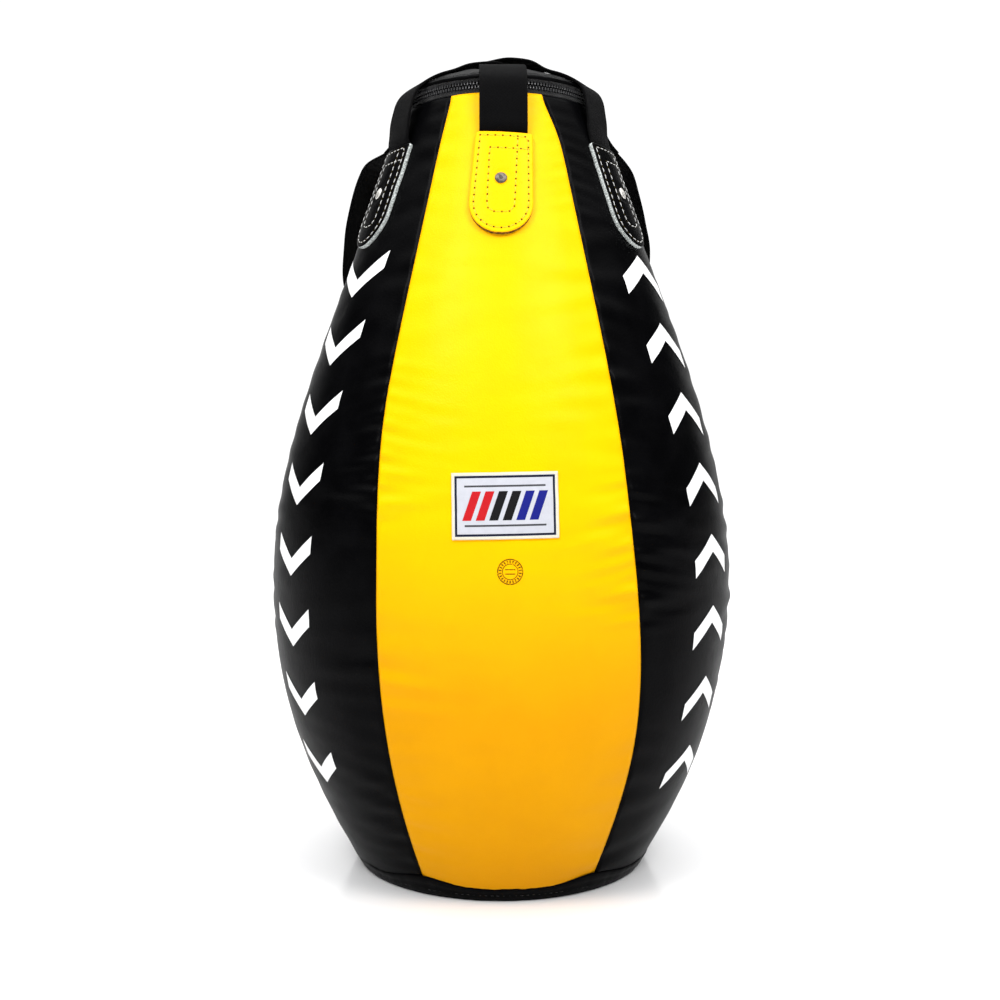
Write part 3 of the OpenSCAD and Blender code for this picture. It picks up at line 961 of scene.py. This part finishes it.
# ---- Build ----
MAT = {
    "yellow": yellow("yellow_leather").mat,
    "front": front_leather(),
    "black": leather("black_leather", BLACK, BLACK_WORN, coat=0.01, specular=0.018).mat,
    "ink": ink(),
    "pale_edge": cut_edge("pale_cut_edge", (0.80, 0.85, 0.83), (0.26, 0.28, 0.27)),
    # The yellow patch's cut edge keeps its own fibres and layers, but its dark brown is a painted
    # shadow line under the patch's edge.
    "yellow_edge_shadowed": cut_edge("yellow_cut_edge_shadowed", (0.34, 0.16, 0.01), (0.03, 0.018, 0.003)),
    "white_thread": thread("white_thread", (0.78, 0.78, 0.76), (0.40, 0.40, 0.39)),
    "yellow_thread": thread("yellow_thread", (0.97, 0.50, 0.002), (0.90, 0.43, 0.002)),
    "black_thread": thread("black_thread", (0.02, 0.02, 0.021), (0.006, 0.006, 0.006)),
    "hole": hole_shade(),
    "webbing": webbing(),
    "liner": cloth("lining_nylon", (0.05, 0.055, 0.065), (0.018, 0.02, 0.024)),
    "tape": cloth("seam_tape", (0.03, 0.03, 0.033), (0.01, 0.01, 0.011)),
    "zip_tape": cloth("zip_tape", (0.010, 0.010, 0.011), (0.003, 0.003, 0.0032), pitch=0.8),
    "teeth": teeth_plastic(),
    "rivet": metal("rivet_steel", (0.52, 0.48, 0.42), (0.24, 0.20, 0.15), rough=0.34),
    # The rivet heads are one metal in two copies: a pale lit copy, painted highlight, for the side
    # rivets and a dark copy, painted shade, for the front rivet.
    "rivet_head": metal("rivet_head", (0.92, 0.90, 0.86), (0.62, 0.60, 0.56), rough=0.5),
    "rivet_shaded": metal("rivet_shaded", (0.17, 0.15, 0.13), (0.07, 0.06, 0.05), rough=0.55),
    "zip_metal": metal("zip_metal", (0.30, 0.30, 0.31), (0.10, 0.10, 0.105)),
    "backing": cut_edge("backing_leather", (0.26, 0.15, 0.08), (0.12, 0.07, 0.035)),
    "label": label_weave(),
    "rags": rags(),
}

PANELS = (
    ("panel_front", "front", 0), ("panel_front_right", "black", SIDE),
    ("panel_rear_right", "black", 180 - SIDE), ("panel_back", "yellow", 180),
    ("panel_rear_left", "black", 180 + SIDE), ("panel_front_left", "black", -SIDE),
)
for number, (name, look, middle) in enumerate(PANELS):
    panel(name, number, look, "black_leather" if look == "black" else "yellow_leather", middle)

STRAP_AZ = {"front": 0.0, "front_right": SIDE, "rear_right": 180 - SIDE, "back": 180.0,
            "rear_left": 180 + SIDE, "front_left": LEFT_SEWN}
rivets = Batch()
for where, angle in STRAP_AZ.items():
    dyed = "yellow" if where in ("front", "back") else "black"
    patch("patch_" + where, angle, dyed, FRONT_TILT if where == "front" else 0.0)
    # the front rivet takes the dark copy (painted shade), the others the pale copy (painted
    # highlight)
    rivets.add(*rivet_cap(angle), mat=1 if where == "front" else 0)
rivets.place("rivet_heads", ("rivet_head", "rivet_shaded"), "bag", "rivet_steel", "rivets")


def neck_mid(z):
    """The middle of webbing that lies on the neck."""
    return RIM_R + NECK_SLOPE * (RIM_Z - z) + 0.3 + WEBBING_T / 2


def arch_half(lift, close=0.0):
    """The webbing's middle line. close draws the rise beside the neck inward."""
    return [(neck_mid(770), 770), (neck_mid(779) + 0.3, 779), (128.5 - 0.7 * close, 786),
            (126 - close, 800), (121.5 - 0.8 * close, 820), (116.5 - 0.4 * close, 836),
            (107, 847), (88, 858.6), (68, 866.2 + 0.12 * lift), (49, 871.8 + 0.82 * lift),
            (24, 877.2 + lift), (0, 877.8 + lift)]


# Behind the lid the webbing comes up off its slack loop, so it stands further out and higher
REAR_OUT = (2.8, 2.6, 1.0, 0, 0, 0, 0, 0)
REAR_UP = (0, 0, 0, 0.5, 1.3, 0.9, 0, 0)


def rear_half(lift):
    over = arch_half(lift)[4:]
    moved = [(x + out, z + up) for (x, z), out, up in zip(over, REAR_OUT, REAR_UP)]
    return [(142.2, 799.4), (136, 804.5), (130, 811)] + moved


STACK = WEBBING_T + 1.2    # rise of each strap over the one below, where they cross
RIGHT_CLOSE = 5.5          # the right strap rises closer to the neck than the others


def strap(name, az, lift, close, seed, *nodes):
    """A strap over the lid, from its front patch to the top of its slack loop behind."""
    rear = [(-x, z) for x, z in rear_half(lift)][::-1]
    obj = band(name, az, arch_half(lift, close) + rear[1:], seed)
    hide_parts(*nodes)
    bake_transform(obj)


strap("strap_front_back", FRONT_SEWN, 0, 0, 11, "strap_front_back", "tail_front")
strap("strap_left", LEFT_SEWN, STACK, 0, 12, "strap_left", "tail_front_left")
strap("strap_right", SIDE, 2 * STACK, RIGHT_CLOSE, 13, "strap_right", "tail_front_right")


def slack_line(bulge, bottom):
    """A loop of spare webbing: off the neck, down to its bottom, and up to the strap's end."""
    return [(neck_mid(770), 770), (neck_mid(779) + 0.2, 779), (129.5, 787.5), (134, 791.5),
            (139, 789), (142.5, 780), (150, 752), (161, 715), (bulge - 21, bottom + 40),
            (bulge - 14, bottom + 10), (bulge - 7, bottom), (bulge, bottom + 10),
            (bulge + 1, bottom + 40), (bulge - 4, 720), (bulge - 13, 752), (bulge - 22, 776),
            (bulge - 33, 790), (142.2, 799.4)]


def loop(name, az, bulge, bottom, seed, tail):
    obj = band(name, az, slack_line(bulge, bottom), seed)
    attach(obj, "bag")
    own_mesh(obj)
    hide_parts(name, tail)


loop("slack_loop_back", 180, 194, 650, 21, "tail_back")
loop("slack_loop_rear_right", 180 - SIDE, 186, 655, 22, "tail_rear_right")
loop("slack_loop_rear_left", 180 + SIDE, 200, 640, 23, "tail_rear_left")


# ---- Label ----
LABEL_X = (LABEL_LO[0] + LABEL_HI[0]) / 2
LABEL_MID = (LABEL_LO[2] + LABEL_HI[2]) / 2
LABEL_EDGE = 2.1
LABEL_TURN = 0.019        # sewn on a little out of level, in radians


def label():
    """The woven label: a thin cloth with a folded edge, sewn on with white thread."""
    t = np.concatenate([[-1], np.linspace(-1, 1, 81), [1]]) * LABEL_W / 2
    z = np.concatenate([[-1], np.linspace(-1, 1, 51), [1]]) * LABEL_H / 2
    zz, tt = np.meshgrid(z, t, indexing="ij")

    def height(t, z):
        inset = np.minimum(LABEL_W / 2 - np.abs(t), LABEL_H / 2 - np.abs(z))
        fold = 0.25 * ease(1 - inset / 4.5) - 0.22 * bell(inset, LABEL_EDGE, 0.6)
        return 1.0 + fold + 0.12 * np.sin(t / 5.1 + z / 9) * np.sin(z / 6.3)

    def surface(p, h):
        across, up = p[:, 0] - LABEL_TURN * p[:, 1], p[:, 1] + LABEL_TURN * p[:, 0]
        az = np.degrees((across + LABEL_X) / plain_r(LABEL_MID + up))
        return on_skin(az, LABEL_MID + up, height(p[:, 0], p[:, 1]) + h)

    flat = np.stack([tt, zz], -1).reshape(-1, 2)
    skirt = np.zeros(tt.shape)
    skirt[0], skirt[-1], skirt[:, 0], skirt[:, -1] = -1.3, -1.3, -1.3, -1.3
    batch = Batch()
    batch.add(surface(flat, skirt.ravel()), grid_faces(*tt.shape), flat)
    w, h = LABEL_W / 2 - LABEL_EDGE, LABEL_H / 2 - LABEL_EDGE
    edge = [(-w, -h), (w, -h), (w, h), (-w, h), (-w, -h)]
    sew(batch, edge, 3.1, 0.26, surface, 1, hole_r=0.3)
    looks = ("label", "white_thread", "hole")
    batch.place("label_woven", looks, "bag", "label_weave", "label")


# ---- Printed chevrons ----
CHEVRONS = 8
CHEVRON_TOP, CHEVRON_LOW = 636.0, 128.0
CHEVRON_LIFT = 0.4
PRINT_LEFT_AZ, PRINT_RIGHT_AZ = -58.0, 59.0


def chevrons(name, az, rises):
    """A column of white chevrons printed down a side panel. rises is 1 for V, -1 upside down."""
    batch = Batch()
    for k in range(CHEVRONS):
        f = k / (CHEVRONS - 1)
        z0 = CHEVRON_TOP + (CHEVRON_LOW - CHEVRON_TOP) * f
        half, tall, stroke = 44 - 8 * f, 27 - 4 * f, 19 - 2 * f      # smaller towards the foot
        for side in (-1, 1):
            uu, aa = np.meshgrid(np.linspace(0, 1, 10), np.linspace(0, 1, 26), indexing="ij")
            t = side * aa * half
            z = z0 + rises * (aa - 0.5) * tall + (uu - 0.5) * stroke
            faces = grid_faces(*aa.shape)
            if side < 0:
                faces = [q[::-1] for q in faces]
            around = az + np.degrees(t / plain_r(z))
            batch.add(on_skin(around, z, CHEVRON_LIFT + 0 * z), faces, np.stack([t, z], -1))
    batch.place(name, ("ink",), "bag", "black_leather")


# ---- Rings: base binding, zip tapes, lid and strip ----
def revolve(profile, start, stop, steps, wobble):
    """Vertices, faces and uvs of a closed profile of (r, z) points swept round the axis."""
    whole = abs(stop - start - 360) < 0.01
    az = np.linspace(start, stop, steps + 1)[:steps if whole else steps + 1]
    p = np.array(profile, float)
    n, rows = len(p), len(az)
    aa = np.repeat(az, n)
    rr, zz = np.tile(p[:, 0], rows), np.tile(p[:, 1], rows)
    dr, dz = wobble(aa, zz)
    rr, zz = rr + dr, zz + dz
    along = np.concatenate([[0], np.cumsum(np.hypot(*(p[1:] - p[:-1]).T))])
    uvs = np.stack([np.radians(aa) * rr.mean(), np.tile(along, rows)], -1)
    return polar(aa, rr, zz), tube_faces(rows, n, joined=whole), uvs


def ring_surface(radius):
    """Places (distance along the ring, height) points on a ring, for sewing round it."""
    def surface(p, h):
        az = np.degrees(p[:, 0] / radius)
        return polar(az, radius + h, p[:, 1])
    return surface


BINDING_TOP = hi("base_binding")[2] + 4.5      # a little deeper than in the frame
BINDING_T = 1.5
BINDING_RISE = 8.0         # the band is deeper still where the panels' seams run under it


def binding():
    """The band bound round the base: folded over at its top edge and sewn through."""
    def outside(z):
        return plain_r(z) + 0.35
    z = np.linspace(0.5, BINDING_TOP, 9)
    bulge = [0.4, 1.3, BINDING_T, BINDING_T, 1.2, BINDING_T, 1.7, 1.3, 0.3]
    profile = [(outside(a) + b, a) for a, b in zip(z, bulge)]
    profile += [(outside(a) - 0.1, a) for a in z[::-1]]

    def wobble(az, z):
        wave = 0.18 * np.sin(np.radians(az) * 31) + 0.12 * np.sin(np.radians(az) * 73 + 1)
        at_seams = sum(bell(wrap(az - s(20.0)), 0, 11) for s in SEAMS)
        up = (BINDING_RISE * at_seams + 0.25 * np.sin(np.radians(az) * 17)) * z / BINDING_TOP
        return np.minimum(wave, 0.1) + plain_r(z + up) - plain_r(z), up
    batch = Batch()
    batch.add(*revolve(profile, 0, 360, 420, wobble))
    row = BINDING_TOP * 0.45
    r = outside(row) + 1.1
    sew(batch, [(0, row), (math.tau * r, row)], 6.0, 0.34, ring_surface(r), 1)
    looks = ("black", "black_thread", "hole")
    batch.place("base_band", looks, "bag", "black_leather", "base_binding")


TOOTH_PITCH = 3.4
# A tooth's rings, as (height, half its width, half its depth), and the corners of a ring
TOOTH_LEVELS = ((0.0, 1.0, 1.7), (1.2, 1.0, 1.7), (2.0, 0.72, 1.45), (2.8, 1.0, 1.6),
                (3.4, 0.8, 1.3), (3.65, 0.35, 0.8))
TOOTH_SECTION = ((1, 0.6), (0.6, 1), (-0.6, 1), (-1, 0.6), (-1, -0.6), (-0.6, -1), (0.6, -1),
                 (1, -0.6))


def tooth(az, z, up):
    """One moulded zip tooth: a block that narrows to a rounded head."""
    verts = []
    for h, half, deep in TOOTH_LEVELS:
        for c, d in TOOTH_SECTION:
            a = az + math.degrees(c * half * 1.1 / ZIP_R)
            verts.append(polar(np.array(a), ZIP_R + d * deep, z + up * h))
    faces = drum_faces(len(TOOTH_LEVELS), len(TOOTH_SECTION))
    if up > 0:
        faces = [q[::-1] for q in faces]
    return verts, faces


def teeth(name, z, up, shift, body):
    """One row of zip teeth. shift sets it round by part of a pitch."""
    batch = Batch()
    step = math.degrees(TOOTH_PITCH / ZIP_R)
    count = int(2 * TEETH_END / step)
    for k in range(count):
        batch.add(*tooth(-TEETH_END + (k + 0.25 + shift) * step, z, up))
    batch.place(name + "_moulded", ("teeth",), body, "zip_teeth", name, smooth=False)


LOWER_TAPE_FOOT, LOWER_TAPE_ROW = 816, 828.2
UPPER_TAPE_TOP, UPPER_TAPE_ROW = 844.0, 841.6


def tape(name, low, high, body, row):
    """One side of the zip's woven tape between two (r, z) points, sewn along a row."""
    line = [(np.interp(k, (0, 1), (low[0], high[0])), np.interp(k, (0, 1), (low[1], high[1])))
            for k in np.linspace(0, 1, 10)]
    profile = [(r + 0.4, z) for r, z in line] + [(r - 0.4, z) for r, z in line[::-1]]

    def wobble(az, z):
        wave = np.sin(np.radians(az) * 23) + 0.6 * np.sin(np.radians(az) * 41 + 2)
        return 0.22 * wave * (abs(z - high[1]) > 1.5) - 0.15, 0 * z
    batch = Batch()
    batch.add(*revolve(profile, -TAPE_END, TAPE_END, 300, wobble))
    r = low[0] + (high[0] - low[0]) * (row - low[1]) / (high[1] - low[1]) + 0.45
    reach = math.radians(TAPE_END - 1) * r
    sew(batch, [(-reach, row), (reach, row)], 3.2, 0.24, ring_surface(r), 1, hole_r=0.25)
    batch.place(name + "_woven", ("zip_tape", "black_thread", "hole"), body, "zip_tape", name)


# The lid's outer line from its edge to its crown: the frame's, plumped up a little
LID_LINE = [(104.6, 842.6), (106.3, 843.3), (106.5, 845.0), (105.2, 846.9), (102.6, 848.4),
            (96.5, 852.4), (80, 860.0), (60, 865.2), (32, 869.2), (0, 870.4)]
LID_T = 1.7
LID_SEAM_R = 101.2


def lid_wrinkle(az, r):
    a = np.radians(az)
    gathers = np.sin(a * 37 + 0.6 * np.sin(a * 5)) + 0.6 * np.sin(a * 61 + 2)
    folds = np.sin(a * 7 + r / 13) + 0.7 * np.sin(a * 11 - r / 9 + 2)
    edge = bell(r, 98, 7)
    return 0.33 * gathers * edge + 0.75 * folds * bell(r, 74, 26)


def lid():
    """The lid: a wrinkled leather dome with a rolled edge and a row of stitches."""
    line, _ = spline(LID_LINE, 2.6)
    az = np.linspace(0, 360, 361)[:-1]
    rr, aa = np.meshgrid(line[:-1, 0], az, indexing="ij")
    zz = np.repeat(line[:-1, 1][:, None], len(az), 1) + lid_wrinkle(aa, rr)
    verts = polar(aa, rr, zz).reshape(-1, 3)
    rows, cols = rr.shape
    faces = grid_faces(rows, cols, closed=True)
    tip = len(verts)
    faces += [((rows - 1) * cols + c, (rows - 1) * cols + (c + 1) % cols, tip)
              for c in range(cols)]
    verts = np.concatenate([verts, [[0, 0, line[-1, 1]]]])
    shell = mesh("lid_leather", verts, faces, ("black",))
    thick = shell.modifiers.new("thickness", "SOLIDIFY")
    thick.thickness, thick.offset = LID_T * MM, -1.0
    place(shell, "lid", "black_leather", "lid_panel")
    batch = Batch()

    def surface(p, h):
        a = np.degrees(p[:, 0] / LID_SEAM_R)
        z = np.interp(-LID_SEAM_R, -line[:, 0], line[:, 1]) + lid_wrinkle(a, LID_SEAM_R + 0 * a)
        return polar(a, LID_SEAM_R + p[:, 1] + 0.5 * h, z + 0.1 + h)
    sew(batch, [(0, 0), (math.tau * LID_SEAM_R, 0)], 4.2, 0.32, surface, 0)
    batch.place("lid_stitching", ("black_thread", "hole"), "lid", "black_leather")


HINGE_AZ = 24.0
HINGE_FOOT = lo("lid_hinge_strip")[2]


def hinge_strip():
    """The sewn leather strip that the lid folds on at the back."""
    r_top = hi("lid_hinge_strip")[1] - 0.3
    line = [(plain_r(HINGE_FOOT) - 2.6, HINGE_FOOT), (RIM_R - 2.7, RIM_Z), (r_top, RIM_Z + 4),
            (r_top + 0.5, RIM_Z + 8), (r_top - 0.4, RIM_Z + 12), (r_top - 0.9, LID_LOW + 0.8)]
    p, _ = spline(line, 1.8)
    profile = [*p] + [(r - 1.5, z) for r, z in p[::-1]]

    def wobble(az, z):
        fold = bell(z, RIM_Z + 8, 3.5)
        return -0.5 * fold * (1 + np.sin(np.radians(az) * 46)), 0 * z
    verts, faces, _ = revolve(profile, 180 - HINGE_AZ, 180 + HINGE_AZ, 90, wobble)
    obj = mesh("hinge_fold", verts, faces, ("black",))
    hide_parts("lid_hinge_strip")
    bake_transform(obj)


# ---- Filling ----
FILL_IN = 5.2
FILL_SIDE_ROWS, FILL_TOP_ROWS = 120, 14
SCRAPS = 70
SCRAP_ROWS, SCRAP_COLS = 14, 5
SCRAP_T = 0.9


def filling():
    """Packed textile: a lumpy body, with loose scraps on its top."""
    z = np.concatenate([np.linspace(3.8, FILLING_TOP - 12, FILL_SIDE_ROWS),
                        np.full(FILL_TOP_ROWS, FILLING_TOP - 3)])
    frac = np.concatenate([np.ones(FILL_SIDE_ROWS), np.linspace(0.97, 0.05, FILL_TOP_ROWS)])
    az = np.linspace(0, 360, 181)[:-1]
    zz, aa = np.meshgrid(z, az, indexing="ij")
    a = np.radians(aa)
    lumps = (np.sin(a * 9 + zz / 17) + np.sin(a * 14 - zz / 11 + 2) + np.sin(zz / 7 + 3 * a)) / 3
    neck = 12 * ease((zz - 560) / 100)
    body = plain_r(np.minimum(zz, FILLING_TOP - 12)) - FILL_IN - neck - 1.2 * (1 + lumps)
    ff = np.repeat(frac[:, None], len(az), 1)
    top = ff < 0.999
    ripple = np.sin(a * 5 + ff * 21) + np.sin(a * 11 - ff * 30)
    batch = Batch()
    batch.add(polar(aa, body * ff, zz + top * (1.3 * ripple - 1.5)), drum_faces(*zz.shape))
    rng = random.Random(5)
    for _ in range(SCRAPS):
        batch.add(*scrap(rng))
    batch.place("stuffing", ("rags",), "bag", "stuffing", "filling")


def scrap(rng):
    """One limp strip of cloth that lies on the filling."""
    r, a0 = 92 * math.sqrt(rng.random()), rng.uniform(0, math.tau)
    x0, y0, turn = r * math.cos(a0), r * math.sin(a0), rng.uniform(0, math.tau)
    long, wide, wave = rng.uniform(12, 26), rng.uniform(4, 9), rng.uniform(0, 6)
    base = FILLING_TOP - 4.5 + rng.uniform(0, 3.0)
    verts = []
    for u in np.linspace(-0.5, 0.5, SCRAP_ROWS):
        bend = turn + 1.6 * u * math.sin(wave)
        for v in np.linspace(-0.5, 0.5, SCRAP_COLS):
            x = x0 + u * long * math.cos(bend) - v * wide * math.sin(bend)
            y = y0 + u * long * math.sin(bend) + v * wide * math.cos(bend)
            z = base + 2.2 * math.sin(u * 7 + wave) * math.cos(v * 2.5 + wave)
            keep = min(1.0, 96 / max(1.0, math.hypot(x, y)))
            verts.append((x * keep, y * keep, min(z, FILLING_TOP - 0.2)))
    under = [(x, y, z - SCRAP_T) for x, y, z in verts]
    n = len(verts)
    faces = grid_faces(SCRAP_ROWS, SCRAP_COLS)
    back = [tuple(k + n for k in q[::-1]) for q in faces]
    loop = [r * SCRAP_COLS + c for r, c in grid_rim(SCRAP_ROWS, SCRAP_COLS)]
    walls = [(b, a, a + n, b + n) for a, b in zip(loop, loop[1:] + loop[:1])]
    return verts + under, faces + back + walls


label()
chevrons("print_left", PRINT_LEFT_AZ, 1)
chevrons("print_right", PRINT_RIGHT_AZ, -1)
binding()
teeth("zip_teeth_lower", LOWER_TEETH_Z, 1, 0.0, "bag")
teeth("zip_teeth_upper", UPPER_TEETH_Z + TEETH_H, -1, 0.5, "lid")
tape("zip_tape_lower", (plain_r(LOWER_TAPE_FOOT) - 3.6, LOWER_TAPE_FOOT),
     (ZIP_R, LOWER_TEETH_Z - 0.1), "bag", LOWER_TAPE_ROW)
tape("zip_tape_upper", (ZIP_R, UPPER_TEETH_Z + TEETH_H + 0.2), (ZIP_R, UPPER_TAPE_TOP), "lid",
     UPPER_TAPE_ROW)
lid()
hinge_strip()
filling()

for node, key in {
    "base_panel": "black", "seam_tapes": "tape", "liner": "liner", "lid_lining": "liner",
    "patch_backings": "backing", "rivet_washers": "rivet", "zip_stops": "zip_metal",
    "zip_slider": "zip_metal", "zip_pull": "zip_metal",
}.items():
    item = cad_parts[node]
    item.data.materials.clear()
    item.data.materials.append(MAT[key])
    if key == "zip_metal":
        soft = item.modifiers.new("soft_edges", "BEVEL")
        soft.width, soft.segments = 0.35 * MM, 2


# ---- Light and floor ----
FLOOR_SIZE = 60000.0
GLOSSY_TO, MATT_FROM = 0.7, 2.2       # in metres from the bag: the floor turns matt between them
SURROUND = 1.05                       # brightness of what the camera sees round the bag
OVERHEAD = 2.5
KEY_OUT, KEY_BACK, KEY_UP = 1.1, -1.5, 2.5
KEY_AIM = (0, 0, 0.5)
KEY_SIZE = 0.9
KEY_POWER = 42


def floor():
    """A plain pale floor that mirrors the bag's foot faintly."""
    s = Shader("floor")
    s.set(Specular_IOR_Level=0.5)
    s.colour(s.noise(300.0, 2.0), (0.86, 0.86, 0.87), (0.88, 0.88, 0.88))
    x, y, _ = s.split(s.place())
    s.rough((x * x + y * y).sqrt().step(GLOSSY_TO, MATT_FROM) * 0.84 + 0.16)
    corners = [(x * FLOOR_SIZE, y * FLOOR_SIZE, 0) for x, y in ((-1, -1), (1, -1), (1, 1), (-1, 1))]
    MAT["floor"] = s.mat
    mesh("floor", corners, [(0, 1, 2, 3)], ("floor",))


def surround():
    """An even pale surround: what the camera sees, and light from behind and above."""
    world = bpy.data.worlds.new("surround")
    bpy.context.scene.world = world
    world.use_nodes = True
    tree = world.node_tree
    coords = tree.nodes.new("ShaderNodeTexCoord")
    split = tree.nodes.new("ShaderNodeSeparateXYZ")
    tree.links.new(coords.outputs["Generated"], split.inputs[0])
    behind = Sock(tree, split.outputs[1]).step(0.72, 0.9)
    above = Sock(tree, split.outputs[2]).step(0.5, 0.85)
    seen = Sock(tree, tree.nodes.new("ShaderNodeLightPath").outputs["Is Camera Ray"])
    bright = (behind * SURROUND).maxi(above * OVERHEAD) + 0.03
    ground = tree.nodes["Background"].inputs
    tree.links.new(bright.maxi(seen * SURROUND).value, ground["Strength"])
    ground["Color"].default_value = (1.0, 1.0, 1.0, 1.0)


def key_light(name, side):
    data = bpy.data.lights.new(name, "AREA")
    data.shape, data.size, data.energy = "SQUARE", KEY_SIZE, KEY_POWER
    obj = bpy.data.objects.new(name, data)
    obj.location = (side * KEY_OUT, KEY_BACK, KEY_UP)
    toward = Vector(KEY_AIM) - obj.location
    obj.rotation_euler = toward.to_track_quat("-Z", "Y").to_euler()
    bpy.context.scene.collection.objects.link(obj)


floor()
surround()
key_light("key_left", -1)
key_light("key_right", 1)
bpy.context.scene.view_settings.view_transform = "Standard"
